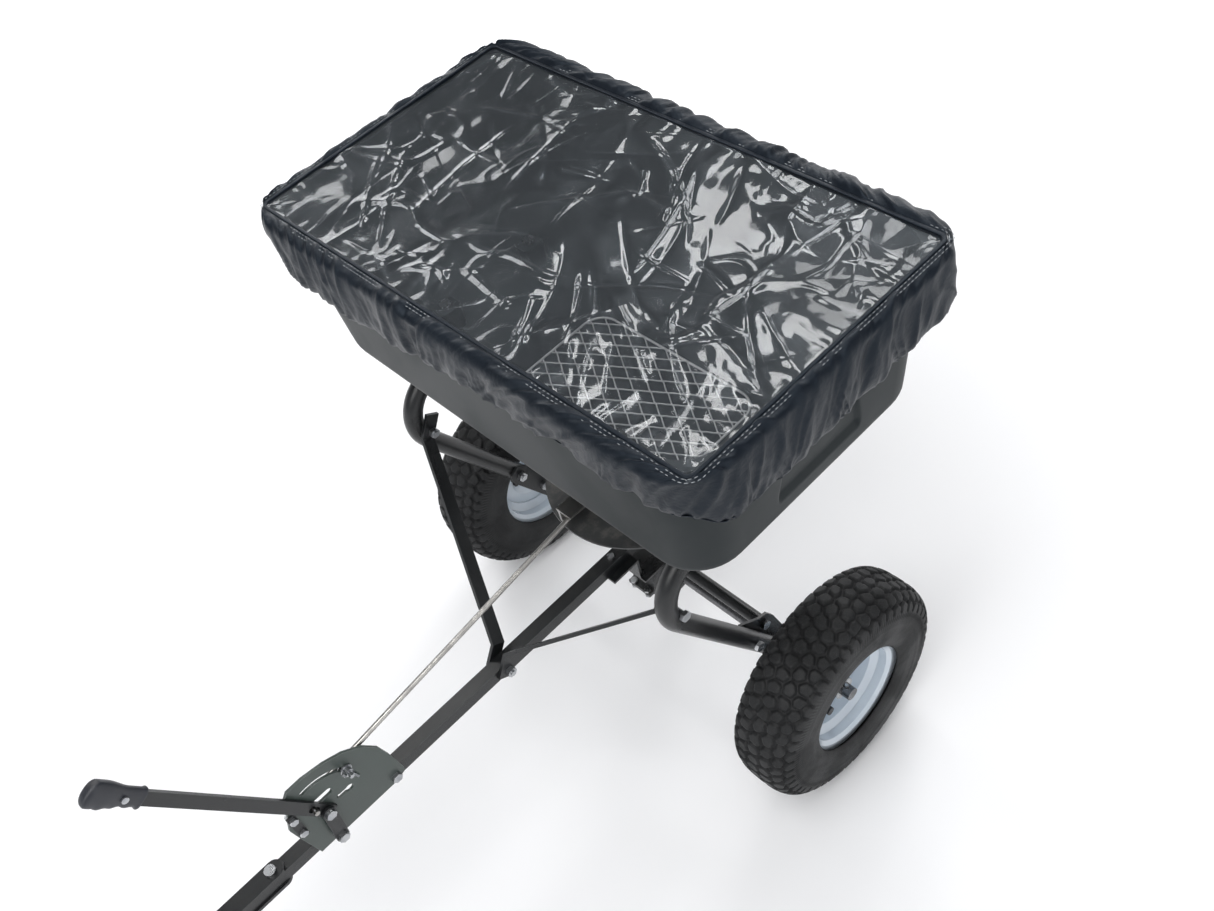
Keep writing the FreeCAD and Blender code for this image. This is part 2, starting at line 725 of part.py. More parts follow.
brace(1, "left")
brace(-1, "right")
node("brace_bolts", group(
    bolt("y", "brace_x", "brace_z", "tube_y + tube_radius", "tube_y - tube_radius - brace_wall",
         "bolt_radius"),
    bolt("y", "brace_x", "brace_z", "-tube_y - tube_radius", "-tube_y + tube_radius + brace_wall",
         "bolt_radius"),
    bolt("y", "brace_front", "tongue_z", "-control_in - brace_wall", "control_in + brace_wall",
         "bolt_radius")))

# ---------------------------------------------------------------- gear housing


def housing(name, lower):
    """Half of the drum about the axle, with its flange and inner space."""
    drum = rod("y", "drum_radius", "0", "axle_z", "-drum_half", "drum_half")
    space = rod("y", "drum_radius - drum_wall", "0", "axle_z", "drum_wall - drum_half",
                "drum_half - drum_wall")
    shaft = rod("y", "axle_radius + run_gap", "0", "axle_z", "-drum_half - 5", "drum_half + 5")
    if lower:
        flange = box("-flange_reach", "flange_reach", "-drum_half", "drum_half",
                     "axle_z - flange_wall", "axle_z")
        keep = box("-90", "90", "-90", "90", "axle_z - 90", "axle_z")
        body = common(fuse(drum, flange), keep)
        tools = [space, shaft]
    else:
        flange = box("-flange_reach", "flange_reach", "-drum_half", "drum_half",
                     "axle_z", "axle_z + flange_wall")
        top = box("-24", "24", "-drum_half", "drum_half", "axle_z + 30", "axle_z + neck_top")
        keep = box("-90", "90", "-90", "90", "axle_z", "axle_z + 90")
        body = common(fuse(drum, flange, top), keep)
        tools = [space, shaft,
                 rod("z", "shaft_radius + run_gap", "0", "0", "axle_z + 30", "axle_z + 90")]
        tools += [hole("z", x, y, "axle_z + 30", "axle_z + 60", "2") for x in ("-17", "17")
                  for y in ("-15", "15")]
    tools += [hole("z", x, y, "axle_z - 9", "axle_z + 9", "small_bolt") for x in ("-54", "54")
              for y in ("-14", "14")]
    node(name, cut(body, *tools))


housing("gearbox_lower", True)
housing("gearbox_upper", False)
node("gearbox_bolts", group(*[bolt("z", x, y, "axle_z + flange_wall", "axle_z - flange_wall",
                                   "small_bolt") for x in ("-54", "54") for y in ("-14", "14")]))

# Stepped bracket from the housing pad up to the underside of the tongue.
pad_z = "axle_z + neck_top"
foot = box("-34", "64", "-31", "31", pad_z, f"{pad_z} + 4")
riser = box("60", "64", "-22", "22", pad_z, "tongue_low")
shelf = box("60", "108", "-22", "22", "tongue_low - 4", "tongue_low")
bracket_tools = [rod("z", "shaft_radius + 4", "0", "0", f"{pad_z} - 5", f"{pad_z} + 9"),
                 hole("z", "88", "0", "tongue_low - 9", "tongue_low + 9", "small_bolt")]
bracket_tools += [hole("z", x, y, f"{pad_z} - 5", f"{pad_z} + 9", "2") for x in ("-17", "17")
                  for y in ("-15", "15")]
node("gearbox_bracket", cut(fuse(foot, riser, shelf), *bracket_tools))
pad_screws = []
for x in ("-17", "17"):
    for y in ("-15", "15"):
        cap = hexagon("z", "4.2", x, y, f"{pad_z} + 4", f"{pad_z} + 7")
        stem = rod("z", "2", x, y, f"{pad_z} - 6", f"{pad_z} + 4")
        pad_screws.append(fuse(cap, stem))
node("gearbox_pad_screws", group(*pad_screws))
node("tongue_bolts", group(
    bolt("z", "88", "0", "tongue_top", "tongue_low - 4", "small_bolt"),
    bolt("z", "cross_x", "0", "tongue_top", "cross_z - cross_radius", "small_bolt")))


# ---------------------------------------------------------------- bevel pair
def tooth_wheel(radius, thick, tooth, bore, number):
    """Disc about Z with equal teeth standing on its face."""
    body, planes = new_body()
    disc = polygon_sketch(body, planes["XY_Plane"], [], [("0", "0", radius), ("0", "0", bore)])
    pad(body, disc, thick)
    wide, near, far, tall = tooth
    loop = [(near, f"-({wide}) * 0.5"), (far, f"-({wide}) * 0.5"),
            (far, f"({wide}) * 0.5"), (near, f"({wide}) * 0.5")]
    sketch = polygon_sketch(body, planes["XY_Plane"], [loop])
    one = pad(body, sketch, tall)
    axes = {item.Role: item for item in body.Origin.OriginFeatures}
    pattern(body, one, axes["Z_Axis"], number)
    return body


ring = tooth_wheel("ring_pitch + 3", "4", ("1.8", "ring_pitch - 1.5", "ring_pitch + 2", "6.2"),
                   "axle_radius", "ring_teeth")
# Facing the middle plane: the disc lies at pinion_pitch + 2.3 .. + 6.3, teeth reach inwards.
face_in = Rotation(Vector(1, 0, 0), 90)
at(ring, "0", "pinion_pitch + 6.3", "axle_z", face_in)
hub = cut(rod("y", "axle_radius + 4", "0", "axle_z", "-2", "pinion_pitch + 6.3"),
          rod("y", "axle_radius", "0", "axle_z", "-9", "pinion_pitch + 9"))
node("ring_gear", fuse(ring, hub))

pinion = tooth_wheel("pinion_pitch - 2", "7", ("1.6", "pinion_pitch - 3", "pinion_pitch + 2", "3.5"),
                     "shaft_radius", "pinion_teeth")
half_tooth = Rotation(Vector(0, 0, 1), 90 + 180 / num("pinion_teeth"))
at(pinion, "0", "0", "axle_z + ring_pitch - 1.5", half_tooth)
node("pinion", pinion)

# ---------------------------------------------------------------- impeller
shaft_top = "floor_z + 34"
shaft_bar = rod("z", "shaft_radius", "0", "0", "axle_z + axle_radius + 6", shaft_top)
hub_pin = hole("y", "0", "impeller_z - 9", "-20", "20", "2")
top_pin = hole("y", "0", "floor_z + 21", "-20", "20", "2")
node("impeller_shaft", cut(shaft_bar, hub_pin, top_pin))


def impeller():
    """Disc with a notch, a hub below and four curved-back vanes on top."""
    body, planes = new_body()
    disc = polygon_sketch(body, planes["XY_Plane"], [], [("0", "0", "impeller_radius"),
                                                         ("0", "0", "shaft_radius")])
    pad(body, disc, "disc_wall")
    loop = [("26", "-6"), ("impeller_radius - 8", "-20"), ("impeller_radius - 8", "-17"), ("26", "-3")]
    sketch = polygon_sketch(body, planes["XY_Plane"], [loop])
    vane = pad(body, sketch, "disc_wall + vane_height")
    axes = {item.Role: item for item in body.Origin.OriginFeatures}
    pattern(body, vane, axes["Z_Axis"], "6")
    at(body, "0", "0", "impeller_z")
    hub = rod("z", "17", "0", "0", "impeller_z - 18", "impeller_z")
    bore = rod("z", "shaft_radius", "0", "0", "impeller_z - 30", "impeller_z + 9")
    across = hole("y", "0", "impeller_z - 9", "-30", "30", "2")
    return cut(fuse(body, hub), bore, across)


node("impeller", impeller())
node("impeller_pins", group(rod("y", "2", "0", "impeller_z - 9", "-19", "19"),
                            rod("y", "2", "0", "floor_z + 21", "-13", "13")))

stirrer_hub = rod("z", "shaft_radius + 4", "0", "0", "floor_z + 14", "floor_z + 28")
arm_a = rod("x", "2.5", "0", "floor_z + 24", "-46", "46")
arm_b = rod("y", "2.5", "0", "floor_z + 18", "-46", "46")
stirrer_bore = rod("z", "shaft_radius", "0", "0", "floor_z + 5", "floor_z + 40")
pin_bore = hole("y", "0", "floor_z + 21", "-30", "30", "2")
tip_a = rod("z", "2.5", "46", "0", "floor_z + 9", "floor_z + 24")
tip_b = rod("z", "2.5", "-46", "0", "floor_z + 9", "floor_z + 24")
node("agitator", cut(fuse(stirrer_hub, arm_a, arm_b, tip_a, tip_b), stirrer_bore, pin_bore))


# ---------------------------------------------------------------- hopper
def rounded(half_x, half_y, radius, z):
    """Closed wire: rectangle with round corners, centred on the hopper."""
    cx = num("hopper_x")
    edges = []
    corners = [(1, 1), (-1, 1), (-1, -1), (1, -1)]
    turn = [((0, 1), (1, 0)), ((-1, 0), (0, 1)), ((0, -1), (-1, 0)), ((1, 0), (0, -1))]
    points = []
    for (sx, sy), ((ax, ay), (bx, by)) in zip(corners, turn):
        ox, oy = cx + sx * (half_x - radius), sy * (half_y - radius)
        enter = Vector(ox + bx * radius, oy + by * radius, z)
        leave = Vector(ox + ax * radius, oy + ay * radius, z)
        root = radius / math.sqrt(2)
        middle = Vector(ox + sx * root, oy + sy * root, z)
        points.append((enter, middle, leave))
    for i in range(4):
        enter, middle, leave = points[i]
        edges.append(Part.Arc(enter, middle, leave).toShape())
        edges.append(Part.makeLine(leave, points[(i + 1) % 4][0]))
    return Part.Wire(edges)


def shell_solid(levels):
    """Stack of ruled lofts through rounded rectangles."""
    stack = None
    for low, high in zip(levels, levels[1:]):
        piece = Part.makeLoft([rounded(*low), rounded(*high)], True, True)
        stack = piece if stack is None else stack.fuse(piece)
    return stack.removeSplitter()


wall = num("hopper_wall")
corner = num("corner_radius")
floor_z, funnel_z, shelf_z, rim_z = (num(k) for k in ("floor_z", "funnel_z", "shelf_z", "rim_z"))
levels = [(num("floor_half_x"), num("floor_half_y"), 24, floor_z),
          (num("funnel_half_x"), num("funnel_half_y"), 40, funnel_z),
          (num("shelf_half_x"), num("shelf_half_y"), corner, shelf_z),
          (num("rim_in_x"), num("rim_in_y"), corner, rim_z)]
inner_levels = []
for i, (hx, hy, radius, z) in enumerate(levels):
    lift = wall if i == 0 else 0
    inner_levels.append((hx - wall, hy - wall, radius - wall, z + lift))
inner_levels[1] = (levels[1][0] - wall, levels[1][1] - wall, 36, funnel_z + wall * 0.6)
inner_levels[2] = (levels[2][0] - wall, levels[2][1] - wall, corner - wall, shelf_z + wall)
top_x, top_y, top_r, _ = inner_levels[3]
inner_levels[3] = (top_x, top_y, top_r, rim_z + 5)
outer_shell = computed(shell_solid(levels))
inner_shell = computed(shell_solid(inner_levels))
lip_out = num("lip_reach")
lip = computed(Part.Face(rounded(num("rim_in_x") + lip_out, num("rim_in_y") + lip_out,
                                 corner + lip_out, rim_z - num("lip_wall"))
                         ).extrude(Vector(0, 0, num("lip_wall"))))
pads = []
for side in (1, -1):
    for x in pad_x:
        y = f"({side}) * tube_y"
        pads.append(box(f"{x} - 16", f"{x} + 16", f"{y} - 13", f"{y} + 13",
                        "run_z + tube_radius", "shelf_z + 6"))
pad_holes = [hole("z", x, f"({side}) * tube_y", "run_z", "shelf_z + 20", "bolt_radius")
             for side in (1, -1) for x in pad_x]
outlet_y = "gate_half - 14"
outlets = []
for side in (1, -1):
    y0, y1 = (f"8", outlet_y) if side > 0 else (f"-({outlet_y})", "-8")
    outlets.append(box("-outlet_near - outlet_long", "-outlet_near", y0, y1, "floor_z - 5",
                       "floor_z + hopper_wall + 5"))
shaft_hole = rod("z", "shaft_radius + 1.5", "0", "0", "floor_z - 5", "floor_z + 20")
guide_spots = [(x, f"({side}) * (gate_half + 7)") for side in (1, -1) for x in ("-55", "55")]
guide_holes = [hole("z", x, y, "floor_z - 5", "floor_z + 12", "2") for x, y in guide_spots]
hopper = cut(fuse(outer_shell, lip, *pads), inner_shell, shaft_hole, *outlets, *pad_holes,
             *guide_holes)
node("hopper", hopper)

hopper_bolts = []
for side in (1, -1):
    for x in pad_x:
        y = f"({side}) * tube_y"
        seat = "shelf_z + 8"
        head = rod("z", "bolt_radius * 2", x, y, seat, f"{seat} + 3")
        shank = rod("z", "bolt_radius", x, y, "run_z - tube_radius - 9", seat)
        nut = hexagon("z", "bolt_radius * 1.9", x, y, "run_z - tube_radius - 6.5",
                      "run_z - tube_radius")
        hopper_bolts.append(fuse(head, shank, nut))
node("hopper_bolts", group(*hopper_bolts))


# Screen: frame bars with crossed bars, resting on the funnel walls.
screen_x = "floor_half_x + (screen_z - floor_z - hopper_wall) * slope_x - hopper_wall - 0.6"
screen_y = "floor_half_y + (screen_z - floor_z - hopper_wall) * slope_y - hopper_wall - 0.6"
hx, hy = "hopper_x", "0"
outer_frame = box(f"{hx} - ({screen_x})", f"{hx} + ({screen_x})", f"-({screen_y})", screen_y,
                  "screen_z", "screen_z + screen_bar")
inner_frame = box(f"{hx} - ({screen_x}) + 7", f"{hx} + ({screen_x}) - 7", f"7 - ({screen_y})",
                  f"({screen_y}) - 7", "screen_z - 5", "screen_z + 9")
bars = []
for i in range(-4, 5):
    y = f"screen_step_y * {i}"
    bars.append(box(f"{hx} - ({screen_x}) + 3", f"{hx} + ({screen_x}) - 3", f"{y} - 1.5", f"{y} + 1.5",
                    "screen_z", "screen_z + screen_bar"))
for i in range(-3, 4):
    x = f"screen_step_x * {i}"
    bars.append(box(f"{hx} + {x} - 1.5", f"{hx} + {x} + 1.5", f"3 - ({screen_y})", f"({screen_y}) - 3",
                    "screen_z", "screen_z + screen_bar"))
node("hopper_screen", common(fuse(cut(outer_frame, inner_frame), *bars), inner_shell))


# ---------------------------------------------------------------- gate, guides and rod
def gate():
    """Sliding plate with two windows, a shaft slot and a hanging tab."""
    rear = "-outlet_near - outlet_long - gate_stroke - 8"
    plate = box(rear, "rod_x + 8", "-gate_half", "gate_half", "gate_z", "gate_z + gate_wall")
    trim = [box("floor_half_x + 22", "rod_x + 20", "14", "90", "gate_z - 5", "gate_z + 9"),
            box("floor_half_x + 22", "rod_x + 20", "-90", "-14", "gate_z - 5", "gate_z + 9")]
    slot = box("-shaft_radius - 3", "gate_stroke + shaft_radius + 3", "-shaft_radius - 2",
               "shaft_radius + 2", "gate_z - 5", "gate_z + 9")
    windows = []
    for side in (1, -1):
        y0, y1 = (f"8", outlet_y) if side > 0 else (f"-({outlet_y})", "-8")
        windows.append(box("-outlet_near - outlet_long + gate_stroke + 1", "gate_stroke + 1 - outlet_near",
                           y0, y1, "gate_z - 5", "gate_z + 9"))
    tab = box("rod_x - 8", "rod_x + 8", "-12", "-8", "rod_z - 8", "gate_z + gate_wall")
    eye = rod("y", "rod_radius + 0.3", "rod_x", "rod_z", "-20", "0")
    return cut(fuse(cut(plate, slot, *windows, *trim), tab), eye)


node("gate_plate", gate())


def gate_guide(side):
    """Folded strip that holds one edge of the gate against the hopper floor."""
    wing = "gate_half + 0.5"
    if side > 0:
        upper = box("-66", "66", wing, "gate_half + 14", "gate_z - 0.5", "floor_z")
        lower = box("-66", "66", "gate_half - 7", "gate_half + 14", "gate_z - 3", "gate_z - 0.5")
    else:
        upper = box("-66", "66", "-gate_half - 14", f"-({wing})", "gate_z - 0.5", "floor_z")
        lower = box("-66", "66", "-gate_half - 14", "7 - gate_half", "gate_z - 3", "gate_z - 0.5")
    y = f"({side}) * (gate_half + 7)"
    tools = [hole("z", x, y, "gate_z - 9", "floor_z + 9", "2") for x in ("-55", "55")]
    return cut(fuse(upper, lower), *tools)


node("gate_guides", group(gate_guide(1), gate_guide(-1)))
rivets = []
for x, y in guide_spots:
    top = rod("z", "4", x, y, "floor_z + hopper_wall", "floor_z + hopper_wall + 1.5")
    stem = rod("z", "2", x, y, "gate_z - 3", "floor_z + hopper_wall")
    foot = rod("z", "4", x, y, "gate_z - 4.5", "gate_z - 3")
    rivets.append(fuse(top, stem, foot))
node("guide_rivets", group(*rivets))


def flow_rod():
    """Straight bar with a hook through the gate tab and one through the lever slot."""
    rear = Vector(num("rod_x"), 0, num("rod_z"))
    front = Vector(num("pin_x"), 0, num("pin_z"))
    points = [rear + Vector(0, -22, 0), rear, front, front + Vector(0, num("lever_out") + 7, 0)]
    return swept(points, [6, 6], num("rod_radius"))


rod_part = computed(flow_rod())
rear_eye = hole("z", "rod_x", "-17.5", "rod_z - 9", "rod_z + 9", "0.9")
front_eye = hole("z", "pin_x", "lever_out + 4", "pin_z - 9", "pin_z + 9", "0.9")
node("flow_rod", cut(rod_part, rear_eye, front_eye))
node("rod_cotters", group(
    rod("z", "0.9", "rod_x", "-17.5", "rod_z - 8", "rod_z + 12"),
    rod("z", "0.9", "pin_x", "lever_out + 4", "pin_z - 7", "pin_z + 7")))
collar = rod("y", "rod_radius + 2.2", "rod_x", "rod_z", "-15.5", "-12.3")
node("rod_washer", cut(collar, rod("y", "rod_radius + 0.02", "rod_x", "rod_z", "-20", "-5")))


# ---------------------------------------------------------------- control plate and lever
def arc_tool(radius, half, start, end, y0, y1):
    """Curved slot about the lever pivot, between two angles above the horizontal."""
    cx, cz = num("pivot_x"), num("pivot_z")
    def place(r, angle):
        a = math.radians(angle)
        return Vector(cx + r * math.cos(a), y0, cz + r * math.sin(a))
    middle = (start + end) / 2
    ro, ri = radius + half, radius - half
    edges = [Part.Arc(place(ro, start), place(ro, middle), place(ro, end)).toShape(),
             end_cap(place, radius, half, end, 1),
             Part.Arc(place(ri, end), place(ri, middle), place(ri, start)).toShape(),
             end_cap(place, radius, half, start, -1)]
    face = Part.Face(Part.Wire(edges))
    return computed(face.extrude(Vector(0, y1 - y0, 0)))


def end_cap(place, radius, half, angle, way):
    """Round end of a curved slot."""
    spread = math.degrees(half / radius)
    inner, outer = radius - half, radius + half
    ends = (outer, inner) if way > 0 else (inner, outer)
    return Part.Arc(place(ends[0], angle), place(radius, angle + way * spread),
                    place(ends[1], angle)).toShape()


def control_plate():
    """Upright plate on the left side of the tongue, with the stop slot."""
    body, planes = new_body()
    outline = [("pivot_x - 105", "tongue_z + 4"), ("pivot_x - 99", "pivot_z - 9"),
               ("pivot_x - 93", "pivot_z + 18"), ("pivot_x - 78", "pivot_z + 43"),
               ("pivot_x - 55", "pivot_z + 62"), ("pivot_x - 30", "pivot_z + 72.5"),
               ("pivot_x", "pivot_z + 78.5"), ("pivot_x + 22", "pivot_z + 78"),
               ("pivot_x + 29", "pivot_z + 70"), ("pivot_x + 47.5", "pivot_z + 14"),
               ("pivot_x + 44", "pivot_z - 14"), ("pivot_x + 36", "tongue_low"),
               ("pivot_x - 86", "tongue_low"), ("pivot_x - 103", "tongue_low + 6")]
    sketch = polygon_sketch(body, planes["XZ_Plane"], [outline])
    pad(body, sketch, "control_wall", reverse=True)
    at(body, "0", "control_in", "0")
    y0, y1 = num("control_in") - 3, num("control_out") + 3
    slot = arc_tool(num("slot_arc"), num("stop_radius") + 0.6, 80, 153, y0, y1)
    low, high = "control_in - 3", "control_out + 3"
    tools = [slot, hole("y", "pivot_x", "pivot_z", low, high, "bolt_radius"),
             hole("y", lower_bolt_x, "tongue_z", low, high, "bolt_radius"),
             hole("y", rear_bolt_x, "tongue_z", low, high, "bolt_radius")]
    window = [rod("y", "rod_radius + 2.5", "pin_x + 1", "pin_z", low, high),
              rod("y", "rod_radius + 2.5", "pin_x - gate_stroke - 1", "pin_z", low, high),
              box("pin_x - gate_stroke - 1", "pin_x + 1", low, high, "pin_z - rod_radius - 2.5",
                  "pin_z + rod_radius + 2.5")]
    eye = [rod("y", "6", "pivot_x - 37", "pivot_z - 4", low, high),
           rod("y", "3", "pivot_x - 21", "pivot_z - 1", low, high),
           box("pivot_x - 37", "pivot_x - 21", low, high, "pivot_z - 7", "pivot_z + 1")]
    tools += window + eye
    tools += [hole("y", "pivot_x + 37", z, low, high, "small_bolt")
              for z in ("pivot_z - 2", "pivot_z + 30")]
    return cut(body, *tools)


node("control_plate", control_plate())


def lever():
    """Flat bar from below the pivot up to the grip, with a slot for the rod hook."""
    body, planes = new_body()
    half = "lever_width * 0.5"
    loop = [("-11", f"-{half}"), ("lever_length - 3", f"-{half}"), ("lever_length - 3", half),
            ("-11", half)]
    sketch = polygon_sketch(body, planes["XY_Plane"], [loop])
    pad(body, sketch, "lever_wall")
    a = math.radians(num("lever_angle"))
    along = Vector(math.cos(a), 0, math.sin(a))
    across = Vector(0, 1, 0).cross(along)
    at(body, "pivot_x", "lever_in", "pivot_z", Rotation(along, across, Vector(0, 1, 0), "XYZ"))
    reach = num("pin_reach")
    cx, cz = num("pivot_x"), num("pivot_z")
    pieces = []
    for r in (reach - 4.2, reach + 4.2):
        x, z = cx + r * math.cos(a), cz + r * math.sin(a)
        pieces.append(rod("y", "rod_radius + 1.1", x, z, "lever_in - 3", "lever_out + 3"))
    wide = num("rod_radius") + 1.1
    low = Vector(cx, num("lever_in") - 3, cz) + along * (reach - 4.2)
    quad = [low - across * wide, low + across * wide, low + across * wide + along * 8.4,
            low - across * wide + along * 8.4]
    face = Part.Face(Part.makePolygon(quad + quad[:1]))
    slot = computed(face.extrude(Vector(0, num("lever_wall") + 6, 0)))
    pivot = rod("y", "bolt_radius + 0.08", "pivot_x", "pivot_z", "lever_in - 3", "lever_out + 3")
    far = num("lever_length") - 46
    screw = hole("y", cx + far * math.cos(a), cz + far * math.sin(a), "lever_in - 3",
                 "lever_out + 3", "2")
    return cut(body, slot, *pieces, pivot, screw), along, across


lever_bar, along, across = lever()
node("lever", lever_bar)


def grip():
    """Sleeve over the upper end of the lever, slanted at its tip."""
    length = num("lever_length")
    start = length - 66
    wide, thick = 14.5, 6.5
    loop = [(start, -wide + 1), (start + 4, -wide), (length - 10, -wide), (length, -wide + 8),
            (length + 4, wide - 3), (length + 1, wide), (start + 4, wide), (start, wide - 1)]
    middle = (num("lever_in") + num("lever_out")) / 2
    base = Vector(num("pivot_x"), middle - thick, num("pivot_z"))
    face = Part.Face(Part.makePolygon([base + along * a + across * b for a, b in loop + loop[:1]]))
    solid = face.extrude(Vector(0, 2 * thick, 0))
    half = num("lever_width") / 2
    inner = Vector(num("pivot_x"), num("lever_in"), num("pivot_z"))
    hollow = [(start - 5, -half), (length - 3, -half), (length - 3, half), (start - 5, half)]
    face = Part.Face(Part.makePolygon([inner + along * a + across * b for a, b in hollow + hollow[:1]]))
    solid = solid.cut(face.extrude(Vector(0, num("lever_wall"), 0)))
    return computed(solid)


far = num("lever_length") - 46
screw_x = num("pivot_x") + far * math.cos(math.radians(num("lever_angle")))
screw_z = num("pivot_z") + far * math.sin(math.radians(num("lever_angle")))
node("lever_grip", cut(grip(), hole("y", screw_x, screw_z, "lever_in - 30", "lever_out + 30", "2")))
screw_head = rod("y", "4", screw_x, screw_z, "lever_out + 4", "lever_out + 6")
screw_stem = rod("y", "2", screw_x, screw_z, "lever_in - 4", "lever_out + 4")
node("lever_screw", fuse(screw_head, screw_stem))

strap_in = "lever_out + 0.5"
strap_out = "lever_out + 4.5"


def pivot_strap():
    """Short bar outside the lever, tying the pivot bolt to the tongue bolt."""
    dx, dz = num_of("5"), num("tongue_z") - num("pivot_z")
    length = math.hypot(dx, dz)
    along_bar = Vector(dx, 0, dz).normalize()
    side_bar = along_bar.cross(Vector(0, 1, 0))
    base = Vector(num("pivot_x"), num("lever_out") + 0.5, num("pivot_z"))
    quad = [base - side_bar * 9, base + side_bar * 9, base + side_bar * 9 + along_bar * length,
            base - side_bar * 9 + along_bar * length]
    bar = computed(Part.Face(Part.makePolygon(quad + quad[:1])).extrude(Vector(0, 4, 0)))
    ends = [rod("y", "9", "pivot_x", "pivot_z", strap_in, strap_out),
            rod("y", "9", lower_bolt_x, "tongue_z", strap_in, strap_out)]
    tools = [hole("y", "pivot_x", "pivot_z", strap_in, strap_out, "bolt_radius"),
             hole("y", lower_bolt_x, "tongue_z", strap_in, strap_out, "bolt_radius")]
    return cut(fuse(bar, *ends), *tools)


node("pivot_strap", pivot_strap())
spacer = rod("y", "7", lower_bolt_x, "tongue_z", "control_out", strap_in)
node("strap_spacer", cut(spacer, hole("y", lower_bolt_x, "tongue_z", "control_out - 3",
                                      "lever_out + 3", "bolt_radius")))
node("pivot_bolt", bolt("y", "pivot_x", "pivot_z", "lever_out + 4.5", "control_in", "bolt_radius"))
node("plate_bolts", group(
    bolt("y", lower_bolt_x, "tongue_z", "lever_out + 4.5", "-control_in", "bolt_radius"),
    bolt("y", rear_bolt_x, "tongue_z", "control_out", "-control_in", "bolt_radius")))

stop_x = num("pivot_x") + num("slot_arc") * math.cos(math.radians(num("stop_angle")))
stop_z = num("pivot_z") + num("slot_arc") * math.sin(math.radians(num("stop_angle")))
stop_head = rod("y", "7", stop_x, stop_z, "control_in - 3", "control_in - 0.3")
stop_stem = rod("y", "stop_radius", stop_x, stop_z, "control_in - 3", "control_out + 15")
node("stop_bolt", fuse(stop_head, stop_stem))
boss = rod("y", "6", stop_x, stop_z, "control_out + 0.3", "control_out + 8")
skirt = rod("y", "8", stop_x, stop_z, "control_out + 0.3", "control_out + 2")


def wings():
    """Two upright ears of the wing nut."""
    y = num("control_out")
    a = math.radians(num("stop_angle") + 90)
    out = Vector(math.cos(a), 0, math.sin(a))
    thick = out.cross(Vector(0, 1, 0)) * 1.5
    ears = []
    for way in (1, -1):
        loop = [(4, 3), (9, 5), (14, 12), (11, 16), (7, 12), (4, 8)]
        pts = [Vector(stop_x, y, stop_z) + out * (way * r) + Vector(0, up, 0) - thick for r, up in loop]
        ears.append(computed(Part.Face(Part.makePolygon(pts + pts[:1])).extrude(thick * 2)))
    return ears


wing = fuse(boss, skirt, *wings())
node("wing_nut", cut(wing, rod("y", "stop_radius", stop_x, stop_z, "control_out - 3",
                               "control_out + 30")))

# Small bracket strip at the front edge of the plate.
leaf = box("pivot_x + 31", "pivot_x + 43", "control_out", "control_out + 3", "pivot_z - 11",
           "pivot_z + 39")
leaf_holes = [hole("y", "pivot_x + 37", z, "control_in", "control_out + 9", "small_bolt")
              for z in ("pivot_z - 2", "pivot_z + 30")]
node("front_bracket", cut(leaf, *leaf_holes))
node("front_bracket_bolts", group(*[bolt("y", "pivot_x + 37", z, "control_out + 3", "control_in",
                                         "small_bolt") for z in ("pivot_z - 2", "pivot_z + 30")]))

# ---------------------------------------------------------------- rain cover
top_z = num("cover_under")
sheet_wall = num("cover_wall")
in_x, in_y = num("cover_in_x"), num("cover_in_y")
big_r = corner + lip_out + num("cover_gap")


def slab(half_x, half_y, radius, z0, z1):
    """Flat rounded slab."""
    return Part.Face(rounded(half_x, half_y, radius, z0)).extrude(Vector(0, 0, z1 - z0))


outside = slab(in_x + sheet_wall, in_y + sheet_wall, big_r + sheet_wall, top_z - num("cover_drop"),
               top_z + 2)
inside = slab(in_x, in_y, big_r, top_z - num("cover_drop") - 5, top_z)
seam_r = 14
opening = slab(num("seam_x"), num("seam_y"), seam_r, top_z - 5, top_z + 9)
node("cover_border", computed(outside.cut(inside).cut(opening)))
film = slab(num("seam_x"), num("seam_y"), seam_r, top_z, top_z + num("window_wall"))
node("cover_window", computed(film))
hem_out = slab(in_x - 0.3, in_y - 0.3, big_r - 0.3, top_z - num("cover_drop"),
               top_z - num("cover_drop") + 6)
hem_in = slab(in_x - 3.3, in_y - 3.3, big_r - 3.3, top_z - num("cover_drop") - 5,
              top_z - num("cover_drop") + 12)
node("cover_elastic", computed(hem_out.cut(hem_in)))


# ---------------------------------------------------------------- check and write
doc.recompute()
failed = [o.Label for o in doc.Objects if "Invalid" in o.State or "Error" in o.State]
if failed:
    raise RuntimeError("failed objects: " + ", ".join(failed))
labels = [part.Label for part in nodes]
if len(set(labels)) != len(labels) or len(labels) > 60:
    raise RuntimeError("node names clash or are too many")
for part in nodes:
    shape = part.Shape
    if shape.isNull() or not shape.isValid() or not shape.Solids:
        raise RuntimeError(f"bad shape: {part.Label}")
    shape.exportStep(f"parts/{part.Label}.step")
    print(f"{part.Label}: {len(shape.Solids)} solids, {shape.Volume / 1000:.1f} cm3")
print(len(nodes), "nodes")
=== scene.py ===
"""Tow-behind garden spreader: the looks of every piece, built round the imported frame."""

